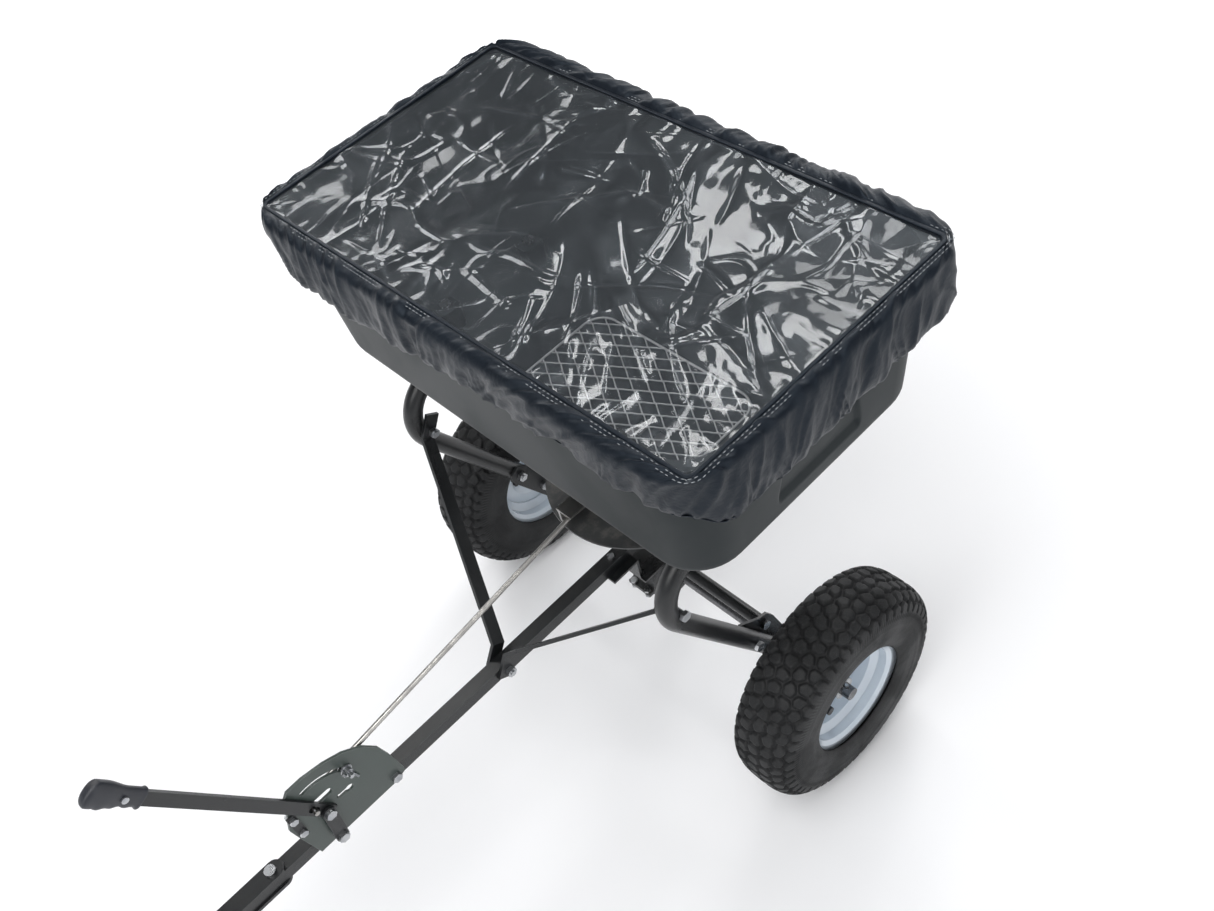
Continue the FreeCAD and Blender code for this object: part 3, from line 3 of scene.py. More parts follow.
import bpy
import numpy as np
from bpy.props import FloatProperty, FloatVectorProperty, IntProperty, PointerProperty
from mathutils import Matrix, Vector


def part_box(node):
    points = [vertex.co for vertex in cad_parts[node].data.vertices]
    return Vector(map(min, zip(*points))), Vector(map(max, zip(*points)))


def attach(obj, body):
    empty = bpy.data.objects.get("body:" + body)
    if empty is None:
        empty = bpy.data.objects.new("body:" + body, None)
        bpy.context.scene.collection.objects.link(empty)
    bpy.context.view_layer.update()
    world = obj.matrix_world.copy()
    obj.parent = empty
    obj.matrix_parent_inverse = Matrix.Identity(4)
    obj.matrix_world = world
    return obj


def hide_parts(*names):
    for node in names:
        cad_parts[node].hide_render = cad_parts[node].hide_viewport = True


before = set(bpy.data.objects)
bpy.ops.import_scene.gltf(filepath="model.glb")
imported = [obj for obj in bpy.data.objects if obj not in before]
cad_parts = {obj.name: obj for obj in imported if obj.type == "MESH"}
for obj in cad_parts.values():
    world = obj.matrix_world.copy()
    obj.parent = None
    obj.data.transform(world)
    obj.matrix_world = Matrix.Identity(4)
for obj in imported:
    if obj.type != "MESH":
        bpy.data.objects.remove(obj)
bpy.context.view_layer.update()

bl_info = {
    "name": "Garden Spreader",
    "version": (1, 0, 0),
    "blender": (4, 5, 0),
    "location": "3D View > Sidebar > Spreader",
    "description": "Builds the pieces and finishes of a tow-behind broadcast spreader",
    "category": "Object",
}


def middle_of(node):
    """Centre of a CAD node's box, as an array."""
    low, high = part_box(node)
    return np.array((low + high) / 2)


AXLE = middle_of("axle")
HOPPER = middle_of("hopper")
RIM_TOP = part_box("hopper")[1].z
COVER_LOW, COVER_HIGH = (np.array(corner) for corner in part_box("cover_border"))
WINDOW_LOW, WINDOW_HIGH = (np.array(corner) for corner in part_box("cover_window"))
SCREEN_LOW, SCREEN_HIGH = (np.array(corner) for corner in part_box("hopper_screen"))
TYRE_LOW, TYRE_HIGH = (np.array(corner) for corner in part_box("tyre_left"))
TYRE_RADIUS = float(TYRE_HIGH[2] - TYRE_LOW[2]) / 2
TYRE_HALF = float(TYRE_HIGH[1] - TYRE_LOW[1]) / 2
UP = np.array([0.0, 0.0, 1.0])

# Sizes that the boxes don't give, in metres.
BEAD_RADIUS, TREAD_REACH = 0.1165, 0.062                       # tyre: bead, crown to tread's edge
OUTLET_PLACE, OUTLET_HALF = (-0.029, 0.018), (0.011, 0.010)    # hopper floor, from the shaft
SHAFT_HOLE, SCREEN_CORNER, SEAM_CORNER = 0.0078, 0.030, 0.010  # radii
BOSS_PLACES, BOSS_SIDE = (0.070, -0.080), 0.238                # hopper blocks, from the axle
LEVER_LEAN, GRIP_END = np.radians(63.0), 0.355                 # lever's slope, pivot to grip's end


# ---------------------------------------------------------------- settings


class SpreaderTyreSettings(bpy.types.PropertyGroup):
    """Sizes of the block tread on both tyres."""

    studs_round: IntProperty(
        name="Studs round", description="Tread studs round one tyre", default=50, min=12)
    stud_depth: FloatProperty(
        name="Stud depth", description="Depth of the grooves between studs",
        default=0.0042, unit="LENGTH", subtype="DISTANCE")
    groove: FloatProperty(
        name="Groove", description="Width of the grooves between studs",
        default=0.0044, unit="LENGTH", subtype="DISTANCE")


class SpreaderCoverSettings(bpy.types.PropertyGroup):
    """Sizes of the rain cover's fabric border and clear window."""

    gather: FloatProperty(
        name="Gather", description="How far the hem's folds stand out and in",
        default=0.0050, unit="LENGTH", subtype="DISTANCE")
    folds: IntProperty(
        name="Folds", description="Gathered folds round the hem", default=62, min=8)
    crease: FloatProperty(
        name="Film crease", description="Height of the creases in the clear film",
        default=0.0023, unit="LENGTH", subtype="DISTANCE")
    stitch: FloatProperty(
        name="Stitch", description="Length of one stitch along the window seam",
        default=0.0042, unit="LENGTH", subtype="DISTANCE")


class SpreaderMeshSettings(bpy.types.PropertyGroup):
    """Sizes of the expanded-metal screen in the hopper."""

    long_way: FloatProperty(
        name="Long way", description="Length of a diamond, across the machine",
        default=0.0390, unit="LENGTH", subtype="DISTANCE")
    short_way: FloatProperty(
        name="Short way", description="Width of a diamond, along the machine",
        default=0.0225, unit="LENGTH", subtype="DISTANCE")
    strand: FloatProperty(
        name="Strand", description="Thickness of a strand",
        default=0.0019, unit="LENGTH", subtype="DISTANCE")


class SpreaderHopperSettings(bpy.types.PropertyGroup):
    """Sizes of the moulded hopper's detail."""

    recess: FloatProperty(
        name="Recess", description="Depth of the recessed panel in each end",
        default=0.0045, unit="LENGTH", subtype="DISTANCE")


class SpreaderColourSettings(bpy.types.PropertyGroup):
    """Paint, plastic and cloth colours."""

    frame_black: FloatVectorProperty(
        name="Frame", description="Powder coat of the frame", subtype="COLOR",
        default=(0.0060, 0.0066, 0.0072))
    hopper: FloatVectorProperty(
        name="Hopper", description="Moulded plastic of the hopper", subtype="COLOR",
        default=(0.0085, 0.0105, 0.0110))
    plate: FloatVectorProperty(
        name="Plate", description="Paint of the control plate", subtype="COLOR",
        default=(0.038, 0.052, 0.046))
    rim: FloatVectorProperty(
        name="Rim", description="Paint of the wheel rims", subtype="COLOR",
        default=(0.66, 0.73, 0.80))
    fabric: FloatVectorProperty(
        name="Fabric", description="Coated nylon of the cover's border", subtype="COLOR",
        default=(0.0060, 0.0082, 0.0120))
    floor: FloatVectorProperty(
        name="Floor", description="Studio floor", subtype="COLOR", default=(0.93, 0.93, 0.94))


# ---------------------------------------------------------------- surfaces


def ease(t):
    """6t^5 - 15t^4 + 10t^3: runs from 0 to 1 with flat ends."""
    t = np.clip(t, 0.0, 1.0)
    return t * t * t * (t * (6 * t - 15) + 10)


def soft_noise(x, y, seed):
    """Random heights at whole-number corners, eased between the four nearest corners."""
    table = np.random.default_rng(seed).uniform(-1, 1, (128, 128))
    left, low = np.floor(x).astype(int), np.floor(y).astype(int)
    across, up = ease(x - left), ease(y - low)
    corner = [table[(left + i) % 128, (low + j) % 128] for i in (0, 1) for j in (0, 1)]
    near = corner[0] * (1 - up) + corner[1] * up
    far = corner[2] * (1 - up) + corner[3] * up
    return near * (1 - across) + far * across


def layered_noise(x, y, seed, layers=4):
    """Sum of soft noises, each at twice the frequency and half the height of the last."""
    total = np.zeros(np.broadcast(x, y).shape)
    for k in range(layers):
        total = total + soft_noise(x * 2**k + 17 * k, y * 2**k - 9 * k, seed + k) / 2**k
    return total


def grid_faces(rows, columns, close_rows=False, close_columns=False):
    """Quads of a grid of points numbered row by row; a closed way joins its last to its first."""
    r = np.arange(rows if close_rows else rows - 1)[:, None]
    c = np.arange(columns if close_columns else columns - 1)[None, :]
    r2, c2 = (r + 1) % rows, (c + 1) % columns
    quads = [r * columns + c, r * columns + c2, r2 * columns + c2, r2 * columns + c]
    return np.stack(quads, axis=-1).reshape(-1, 4)


def outward(points, faces):
    """Faces turned over as a whole if the volume they enclose comes out negative."""
    a, b, c, d = (points[faces[:, k]] for k in range(4))
    volume = (np.cross(a, b) * c).sum() + (np.cross(a, c) * d).sum()
    return faces if volume >= 0 else faces[:, ::-1]


def make_piece(name, points, faces, body, paint, metres=None, sharp=None):
    """Mesh object from arrays, in the frame's own place, riding on a body.

    metres is a flat map of the surface in metres; sharp is the angle past which edges stay hard."""
    mesh = bpy.data.meshes.new(name)
    mesh.from_pydata(points.tolist(), [], faces.tolist())
    mesh.shade_smooth()
    if sharp is not None:
        mesh.set_sharp_from_angle(angle=np.radians(sharp))
    if metres is not None:
        flat = mesh.uv_layers.new(name="metres")
        flat.data.foreach_set("uv", metres[faces.ravel()].astype(np.float32).ravel())
    mesh.materials.append(paint)
    piece = bpy.data.objects.new(name, mesh)
    bpy.context.scene.collection.objects.link(piece)
    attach(piece, body)
    return piece


def add_value(piece, name, values):
    """One number per point of a mesh, for a material to read."""
    made = piece.data.attributes.new(name, "FLOAT", "POINT")
    made.data.foreach_set("value", values.astype(np.float32).ravel())


def loop_grid(half_x, half_y, radius, arc, along_x, along_y):
    """Rectangles with round corners, one per row: x, y and the outward way at each point.

    Each quarter is a corner arc, centre + radius * (cos, sin), and then a straight side."""
    half_x, half_y, radius = (np.asarray(v, float)[:, None] for v in (half_x, half_y, radius))
    parts = []
    signs = [(1, 1), (-1, 1), (-1, -1), (1, -1)]
    for k, (sx, sy) in enumerate(signs):
        turn = (k + np.linspace(0, 1, arc))[None, :] * np.pi / 2
        cx, cy = sx * (half_x - radius), sy * (half_y - radius)
        out = np.broadcast_to(np.cos(turn), (len(radius), arc)), np.broadcast_to(
            np.sin(turn), (len(radius), arc))
        parts.append((cx + radius * out[0], cy + radius * out[1], out[0], out[1]))
        tx, ty = signs[(k + 1) % 4]
        count = along_x if k % 2 == 0 else along_y
        t = np.linspace(0, 1, count + 2)[None, 1:-1]
        wx, wy = np.cos((k + 1) * np.pi / 2), np.sin((k + 1) * np.pi / 2)
        ax, ay = cx + radius * wx, cy + radius * wy
        bx, by = tx * (half_x - radius) + radius * wx, ty * (half_y - radius) + radius * wy
        x, y = ax + (bx - ax) * t, ay + (by - ay) * t
        parts.append((x, y, np.full_like(x, wx), np.full_like(y, wy)))
    return [np.concatenate([p[i] for p in parts], axis=1) for i in range(4)]


def sweep(path, section, up, closed=False):
    """Section (side, height) carried along a path: path + side * (up x way) + height * normal."""
    if closed:
        ahead = np.roll(path, -1, axis=0) - np.roll(path, 1, axis=0)
    else:
        ahead = np.gradient(path, axis=0)
    ahead = ahead / np.linalg.norm(ahead, axis=1, keepdims=True)
    side = np.cross(up, ahead)
    side = side / np.linalg.norm(side, axis=1, keepdims=True)
    top = np.cross(ahead, side)
    points = (path[:, None] + side[:, None] * section[None, :, :1]
              + top[:, None] * section[None, :, 1:])
    return points.reshape(-1, 3)


def round_section(radius, sides):
    """Circle of points: (radius cos a, radius sin a)."""
    a = np.arange(sides) * 2 * np.pi / sides
    return np.stack([radius * np.cos(a), radius * np.sin(a)], axis=1)


def capped_faces(rows, columns):
    """Quads of a tube of closed rings with a fan of quads on each end ring."""
    faces = grid_faces(rows, columns, close_columns=True)
    k = np.arange(0, columns - 2, 2)
    first = np.stack([np.zeros_like(k), k + 1, k + 2, (k + 3) % columns], axis=1)
    last = first[:, ::-1] + (rows - 1) * columns
    caps = np.concatenate([first[:, ::-1], last[:, ::-1]])
    caps = caps[[len(set(quad)) == 4 for quad in caps.tolist()]]
    return np.concatenate([faces, caps])


# ---------------------------------------------------------------- shader groups


class Sheet:
    """A node tree with short calls to add and join nodes."""

    def __init__(self, tree):
        self.tree = tree

    def add(self, kind, values=None, **settings):
        """New node of a kind: attributes from settings, socket values by name or number."""
        node = self.tree.nodes.new(kind)
        for key, value in settings.items():
            setattr(node, key, value)
        for key, value in (values or {}).items():
            node.inputs[key].default_value = value
        return node

    def join(self, source, target):
        """Link from an output socket to an input socket."""
        self.tree.links.new(source, target)

    def span(self, source, low, high, to_low=0.0, to_high=1.0):
        """Map Range from low..high to to_low..to_high, eased and clamped."""
        node = self.add("ShaderNodeMapRange", {1: low, 2: high, 3: to_low, 4: to_high},
                        interpolation_type="SMOOTHSTEP")
        self.join(source, node.inputs[0])
        return node.outputs[0]

    def sum(self, operation, a, b):
        """Math node; a and b are sockets or numbers."""
        node = self.add("ShaderNodeMath", operation=operation)
        for socket, value in zip(node.inputs, (a, b)):
            if isinstance(value, (int, float)):
                socket.default_value = value
            else:
                self.join(value, socket)
        return node.outputs[0]

    def noise(self, frequency, **values):
        """Noise on the piece's own place; frequency is a socket or a number."""
        place = self.add("ShaderNodeTexCoord")
        node = self.add("ShaderNodeTexNoise", values)
        self.join(place.outputs["Object"], node.inputs["Vector"])
        if isinstance(frequency, (int, float)):
            node.inputs["Scale"].default_value = frequency
        else:
            self.join(frequency, node.inputs["Scale"])
        return node

    def relief(self, height, strength, distance, under=None):
        """Normal of a Bump from a height socket, on top of another normal if one is given."""
        node = self.add("ShaderNodeBump", {"Strength": strength, "Distance": distance})
        self.join(height, node.inputs["Height"])
        if under is not None:
            self.join(under, node.inputs["Normal"])
        return node.outputs["Normal"]

    def blend(self, mask, first, second):
        """Colour mix by a mask; first and second are sockets or colours."""
        node = self.add("ShaderNodeMix", data_type="RGBA")
        self.join(mask, node.inputs[0])
        for socket, value in ((node.inputs[6], first), (node.inputs[7], second)):
            if isinstance(value, tuple):
                socket.default_value = (*value[:3], 1.0)
            else:
                self.join(value, socket)
        return node.outputs[2]


def new_group(name, inputs, outputs):
    """Empty shader group: inputs and outputs are lists of (name, kind, default)."""
    tree = bpy.data.node_groups.new(name, "ShaderNodeTree")
    for label, kind, default in inputs:
        made = tree.interface.new_socket(label, in_out="INPUT", socket_type=kind)
        if default is not None:
            made.default_value = default
    for label, kind in outputs:
        tree.interface.new_socket(label, in_out="OUTPUT", socket_type=kind)
    g = Sheet(tree)
    return g, g.add("NodeGroupInput"), g.add("NodeGroupOutput")


NUMBER = "NodeSocketFloat"


def grain_group():
    """Orange peel or moulded grain: noise at a given frequency, with finer noise on it."""
    g, start, end = new_group(
        "grain", [("Frequency", NUMBER, 800.0), ("Detail", NUMBER, 3.0)],
        [("Height", NUMBER), ("Mask", NUMBER)])
    noise = g.noise(start.outputs["Frequency"], Roughness=0.6)
    g.join(start.outputs["Detail"], noise.inputs["Detail"])
    g.join(noise.outputs["Fac"], end.inputs["Height"])
    g.join(g.span(noise.outputs["Fac"], 0.52, 0.66), end.inputs["Mask"])
    return g.tree


def cloud_group():
    """Slow change of tone over a surface: noise eased from 0 to 1."""
    g, start, end = new_group("cloud", [("Frequency", NUMBER, 6.0)], [("Mask", NUMBER)])
    noise = g.noise(start.outputs["Frequency"], Detail=4.0, Roughness=0.55, Distortion=0.4)
    g.join(g.span(noise.outputs["Fac"], 0.35, 0.68), end.inputs["Mask"])
    return g.tree


def edge_group():
    """Wear near edges, and on the fabric a painted highlight on fold crests: 1 - cos between the
    true and a rounded normal, broken by noise.
    """
    g, start, end = new_group(
        "edge wear and crest highlight", [("Amount", NUMBER, 0.5), ("Frequency", NUMBER, 60.0)], [("Mask", NUMBER)])
    noise = g.noise(start.outputs["Frequency"], Detail=3.0)
    shape = g.add("ShaderNodeNewGeometry")
    rounded = g.add("ShaderNodeBevel", {"Radius": 0.0011}, samples=4)
    lean = g.add("ShaderNodeVectorMath", operation="DOT_PRODUCT")
    g.join(shape.outputs["Normal"], lean.inputs[0])
    g.join(rounded.outputs[0], lean.inputs[1])
    edge = g.span(g.sum("SUBTRACT", 1.0, lean.outputs["Value"]), 0.02, 0.16)
    broken = g.sum("MULTIPLY", edge, g.span(noise.outputs["Fac"], 0.38, 0.62))
    g.join(g.sum("MULTIPLY", broken, start.outputs["Amount"]), end.inputs["Mask"])
    return g.tree


def dust_group():
    """Dust that settles on faces that look up: the normal's height times noise."""
    g, start, end = new_group("dust", [("Amount", NUMBER, 0.2)], [("Mask", NUMBER)])
    noise = g.noise(38.0, Detail=5.0, Roughness=0.7)
    shape = g.add("ShaderNodeNewGeometry")
    parts = g.add("ShaderNodeSeparateXYZ")
    g.join(shape.outputs["Normal"], parts.inputs[0])
    lying = g.span(parts.outputs["Z"], 0.35, 1.0)
    patchy = g.sum("MULTIPLY", lying, g.span(noise.outputs["Fac"], 0.42, 0.72))
    g.join(g.sum("MULTIPLY", patchy, start.outputs["Amount"]), end.inputs["Mask"])
    return g.tree


def brush_group():
    """Drawn or brushed metal: noise stretched along one way."""
    g, start, end = new_group(
        "brushed", [("Stretch", "NodeSocketVector", (300.0, 2500.0, 2500.0))],
        [("Height", NUMBER)])
    place = g.add("ShaderNodeTexCoord")
    scale = g.add("ShaderNodeVectorMath", operation="MULTIPLY")
    g.join(place.outputs["Object"], scale.inputs[0])
    g.join(start.outputs["Stretch"], scale.inputs[1])
    noise = g.add("ShaderNodeTexNoise", {"Scale": 1.0, "Detail": 4.0})
    g.join(scale.outputs[0], noise.inputs["Vector"])
    g.join(noise.outputs["Fac"], end.inputs["Height"])
    return g.tree


def weave_group():
    """Plain weave on the piece's map in metres: |sin u * sin v| of the threads each way."""
    g, start, end = new_group(
        "weave", [("Threads", NUMBER, 1100.0)], [("Height", NUMBER)])
    flat = g.add("ShaderNodeUVMap", uv_map="metres")
    parts = g.add("ShaderNodeSeparateXYZ")
    g.join(flat.outputs[0], parts.inputs[0])
    waves = []
    for axis in ("X", "Y"):
        turns = g.sum("MULTIPLY", parts.outputs[axis], start.outputs["Threads"])
        waves.append(g.sum("SINE", g.sum("MULTIPLY", turns, float(np.pi)), 0.0))
    over = g.sum("MULTIPLY", waves[0], waves[1])
    g.join(g.sum("ABSOLUTE", over, 0.0), end.inputs["Height"])
    return g.tree


EFFECTS = {}


def effect(name):
    """Shader group by name, built on first use."""
    makers = {"grain": grain_group, "cloud": cloud_group, "edge wear and crest highlight": edge_group,
              "dust": dust_group, "brushed": brush_group, "weave": weave_group}
    if name not in EFFECTS:
        EFFECTS[name] = makers[name]()
    return EFFECTS[name]


PAINTS = {}


def paint_sheet(name, **constants):
    """New material: its Sheet and its Principled shader, with constants set on the sockets."""
    paint = bpy.data.materials.new(name)
    paint.use_nodes = True
    PAINTS[name] = paint
    sheet = Sheet(paint.node_tree)
    shader = next(n for n in paint.node_tree.nodes if n.type == "BSDF_PRINCIPLED")
    for key, value in constants.items():
        shader.inputs[key.replace("_", " ")].default_value = value
    return sheet, shader


def use(sheet, name, **values):
    """Places a shared effect in a material with its own values."""
    node = sheet.add("ShaderNodeGroup", node_tree=effect(name))
    for key, value in values.items():
        node.inputs[key].default_value = value
    return node


def finish_paint(name, light, dark, gloss, cloud=7.0, grain=(900.0, 3.0), bump=0.1, lift=0.0004,
                 worn=None, wear=0.0, dusty=0.0, speck=None, constants=None):
    """A coat with slow tone, grain, worn edges and dust. gloss is (low, high) roughness."""
    sheet, shader = paint_sheet(name, **(constants or {}))
    tone = use(sheet, "cloud", Frequency=cloud)
    fine = use(sheet, "grain", Frequency=grain[0], Detail=grain[1])
    colour = sheet.blend(tone.outputs["Mask"], light, dark)
    rough = sheet.span(tone.outputs["Mask"], 0.0, 1.0, gloss[0], gloss[1])
    if speck is not None:
        colour = sheet.blend(fine.outputs["Mask"], colour, speck)
    if wear:
        edge = use(sheet, "edge wear and crest highlight", Amount=wear)
        colour = sheet.blend(edge.outputs["Mask"], colour, worn)
        rough = sheet.sum("ADD", rough, sheet.sum("MULTIPLY", edge.outputs["Mask"], 0.08))
    if dusty:
        dust = use(sheet, "dust", Amount=dusty)
        colour = sheet.blend(dust.outputs["Mask"], colour, (0.30, 0.28, 0.25))
        rough = sheet.sum("ADD", rough, sheet.sum("MULTIPLY", dust.outputs["Mask"], 0.4))
    sheet.join(colour, shader.inputs["Base Color"])
    sheet.join(rough, shader.inputs["Roughness"])
    sheet.join(sheet.relief(fine.outputs["Height"], bump, lift), shader.inputs["Normal"])


def metal_paint(name, light, dark, gloss, stretch, bump, wear_colour):
    """Bare or plated metal: tone, drawing lines and rubbed edges."""
    sheet, shader = paint_sheet(name, Metallic=1.0)
    tone = use(sheet, "cloud", Frequency=45.0)
    lines = use(sheet, "brushed", Stretch=stretch)
    colour = sheet.blend(tone.outputs["Mask"], light, dark)
    edge = use(sheet, "edge wear and crest highlight", Amount=0.7, Frequency=150.0)
    colour = sheet.blend(edge.outputs["Mask"], colour, wear_colour)
    sheet.join(colour, shader.inputs["Base Color"])
    sheet.join(sheet.span(tone.outputs["Mask"], 0.0, 1.0, *gloss), shader.inputs["Roughness"])
    sheet.join(sheet.relief(lines.outputs["Height"], bump, 0.0002), shader.inputs["Normal"])


def rubber_paint(depth_name):
    """Tyre rubber: the studs' tops paler than the grooves in fine specks, and dust on faces that
    look up.
    """
    sheet, shader = paint_sheet("tyre_rubber", **{"Specular_IOR_Level": 0.28})
    tone = use(sheet, "cloud", Frequency=14.0)
    fine = use(sheet, "grain", Frequency=1400.0, Detail=5.0)
    depth = sheet.add("ShaderNodeAttribute", attribute_name=depth_name)
    colour = sheet.blend(tone.outputs["Mask"], (0.0135, 0.014, 0.0148), (0.0085, 0.009, 0.0095))
    # Paler colour on the studs' tops, in fine specks; the grooves stay darker.
    paler_tops = sheet.sum("MULTIPLY", depth.outputs["Fac"], fine.outputs["Mask"])
    colour = sheet.blend(paler_tops, colour, (0.034, 0.035, 0.036))
    dust = use(sheet, "dust", Amount=0.05)
    colour = sheet.blend(dust.outputs["Mask"], colour, (0.16, 0.155, 0.15))
    sheet.join(colour, shader.inputs["Base Color"])
    sheet.join(sheet.span(tone.outputs["Mask"], 0, 1, 0.52, 0.70), shader.inputs["Roughness"])
    sheet.join(sheet.relief(fine.outputs["Height"], 0.35, 0.0006), shader.inputs["Normal"])


def fabric_paint(colour):
    """Coated nylon: fine weave, cloudy sheen, and paler fold crests that are a painted highlight.
    """
    sheet, shader = paint_sheet(
        "cover_fabric", **{"Specular_IOR_Level": 0.19, "Sheen_Weight": 0.01,
                           "Specular_Tint": (0.70, 0.84, 1.0, 1.0),
                           "Sheen_Roughness": 0.4})
    tone = use(sheet, "cloud", Frequency=9.0)
    threads = use(sheet, "weave", Threads=1400.0)
    fine = use(sheet, "grain", Frequency=170.0, Detail=4.0)
    light = tuple(c * 1.25 for c in colour)
    shade = sheet.blend(tone.outputs["Mask"], colour, light)
    # Paler colour on fold crests and edges: a painted highlight on the folds.
    fold_highlight = use(sheet, "edge wear and crest highlight", Amount=0.35, Frequency=90.0)
    shade = sheet.blend(fold_highlight.outputs["Mask"], shade, (0.018, 0.023, 0.032))
    dust = use(sheet, "dust", Amount=0.02)
    shade = sheet.blend(dust.outputs["Mask"], shade, (0.25, 0.25, 0.25))
    sheet.join(shade, shader.inputs["Base Color"])
    rough = sheet.span(tone.outputs["Mask"], 0.0, 1.0, 0.33, 0.44)
    sheet.join(rough, shader.inputs["Roughness"])
    weave = sheet.relief(threads.outputs["Height"], 0.25, 0.0002)
    sheet.join(sheet.relief(fine.outputs["Height"], 0.4, 0.0016, weave), shader.inputs["Normal"])


def film_paint(crease_name):
    """Clear vinyl: nearly see-through, more opaque and bright where creased; its dark colour is
    painted shade over the hopper's inside.
    """
    sheet, shader = paint_sheet(
        "cover_film", **{"Specular_IOR_Level": 0.8, "Coat_Weight": 1.0, "Coat_Roughness": 0.06,
                         "Coat_IOR": 2.1, "IOR": 1.7,
                         "Specular_Tint": (0.80, 0.90, 1.0, 1.0)})
    crease = sheet.add("ShaderNodeAttribute", attribute_name=crease_name)
    tone = use(sheet, "cloud", Frequency=11.0)
    fine = use(sheet, "grain", Frequency=120.0, Detail=6.0)
    # Dark base colour: painted shade that darkens the hopper's inside seen through the film.
    colour = sheet.blend(tone.outputs["Mask"], (0.085, 0.094, 0.104), (0.036, 0.041, 0.046))
    sheet.join(colour, shader.inputs["Base Color"])
    sheet.join(sheet.span(tone.outputs["Mask"], 0, 1, 0.24, 0.38), shader.inputs["Roughness"])
    clear = sheet.span(crease.outputs["Fac"], 0.0, 1.0, 0.30, 0.42)
    haze = sheet.sum("MULTIPLY", fine.outputs["Mask"], 0.05)
    sheet.join(sheet.sum("ADD", clear, haze), shader.inputs["Alpha"])
    sheet.join(sheet.relief(fine.outputs["Height"], 0.12, 0.0012), shader.inputs["Normal"])


# ---------------------------------------------------------------- finishes


class SPREADER_OT_finishes(bpy.types.Operator):
    """Makes every paint, metal, plastic and cloth, and puts them on the frame's own pieces"""

    bl_idname = "spreader.finishes"
    bl_label = "Finishes"

    def execute(self, context):
        shade = context.scene.spreader_colours
        black, green, poly = (tuple(c) for c in (shade.frame_black, shade.plate, shade.hopper))
        finish_paint("frame_black", black, tuple(c * 1.6 for c in black), (0.27, 0.36),
                     grain=(1300.0, 2.0), bump=0.55, lift=0.00035, speck=(0.014, 0.0155, 0.017),
                     worn=(0.12, 0.125, 0.13), wear=0.4, dusty=0.02,
                     constants={"Coat_Weight": 0.12, "Coat_Roughness": 0.2,
                                "Specular_IOR_Level": 0.4})
        finish_paint("hopper_poly", poly, tuple(c * 1.35 for c in poly), (0.42, 0.52),
                     cloud=4.0, grain=(700.0, 4.0), bump=0.16,
                     worn=(0.035, 0.040, 0.040), wear=0.3,
                     dusty=0.01, constants={"Specular_IOR_Level": 0.2,
                                           "Specular_Tint": (0.78, 0.92, 1.0, 1.0)})
        finish_paint("plate_green", green, tuple(c * 1.25 for c in green), (0.36, 0.46),
                     cloud=16.0, grain=(1100.0, 3.0), bump=0.2, worn=(0.35, 0.36, 0.36), wear=0.5,
                     dusty=0.05, constants={"Coat_Weight": 0.2, "Coat_Roughness": 0.3})
        finish_paint("housing_black", (0.016, 0.017, 0.018), (0.028, 0.030, 0.031), (0.38, 0.5),
                     cloud=20.0, grain=(330.0, 4.0), bump=0.8, lift=0.0010,
                     speck=(0.055, 0.057, 0.060), worn=(0.20, 0.20, 0.20), wear=0.5, dusty=0.1)
        finish_paint("rim_white", tuple(shade.rim), tuple(c * 0.93 for c in shade.rim),
                     (0.13, 0.2), cloud=9.0, grain=(900.0, 2.0), bump=0.07,
                     worn=(0.5, 0.51, 0.52), wear=0.3, dusty=0.06,
                     constants={"Coat_Weight": 0.7, "Coat_Roughness": 0.08})
        finish_paint("impeller_poly", (0.035, 0.037, 0.038), (0.050, 0.052, 0.053), (0.45, 0.55),
                     cloud=15.0, grain=(900.0, 3.0), bump=0.2, dusty=0.25)
        finish_paint("bush_nylon", (0.42, 0.41, 0.38), (0.50, 0.49, 0.45), (0.42, 0.5),
                     cloud=60.0, grain=(1500.0, 3.0), bump=0.15, dusty=0.1)
        finish_paint("grip_rubber", (0.012, 0.014, 0.020), (0.020, 0.022, 0.030), (0.38, 0.5),
                     cloud=30.0, grain=(1500.0, 4.0), bump=0.3, worn=(0.08, 0.09, 0.10), wear=0.5,
                     dusty=0.1)
        finish_paint("valve_rubber", (0.012, 0.012, 0.013), (0.020, 0.020, 0.021), (0.4, 0.5),
                     cloud=60.0, grain=(1500.0, 3.0), bump=0.2)
        finish_paint("cover_elastic", (0.014, 0.017, 0.022), (0.022, 0.026, 0.033), (0.6, 0.75),
                     cloud=40.0, grain=(1800.0, 3.0), bump=0.4)
        finish_paint("seam_thread", (0.26, 0.28, 0.30), (0.34, 0.36, 0.38), (0.6, 0.75),
                     cloud=200.0, grain=(4000.0, 2.0), bump=0.3)
        metal_paint("zinc", (0.52, 0.53, 0.54), (0.36, 0.37, 0.39), (0.24, 0.40),
                    (900.0, 900.0, 900.0), 0.25, (0.80, 0.81, 0.82))
        metal_paint("rod_steel", (0.40, 0.39, 0.37), (0.28, 0.27, 0.26), (0.26, 0.40),
                    (60.0, 1800.0, 1800.0), 0.12, (0.55, 0.54, 0.52))
        metal_paint("axle_steel", (0.19, 0.19, 0.195), (0.11, 0.11, 0.115), (0.24, 0.36),
                    (2600.0, 120.0, 2600.0), 0.35, (0.5, 0.5, 0.5))
        metal_paint("gear_steel", (0.32, 0.31, 0.30), (0.22, 0.21, 0.20), (0.35, 0.5),
                    (1200.0, 1200.0, 1200.0), 0.4, (0.6, 0.6, 0.6))
        # Pale galvanised coat made near white and diffuse: partly its own colour, partly a painted
        # reflection that keeps the strands bright.
        finish_paint("mesh_steel", (0.86, 0.87, 0.88), (0.70, 0.71, 0.73), (0.46, 0.58),
                     cloud=30.0, grain=(900.0, 3.0), bump=0.15, constants={"Metallic": 0.3})
        rubber_paint("stud_top")
        fabric_paint(tuple(shade.fabric))
        film_paint("crease")
        for name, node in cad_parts.items():
            paint = PAINTS[slot_of(name)]
            node.data.materials.clear()
            node.data.materials.append(paint)
        return {"FINISHED"}


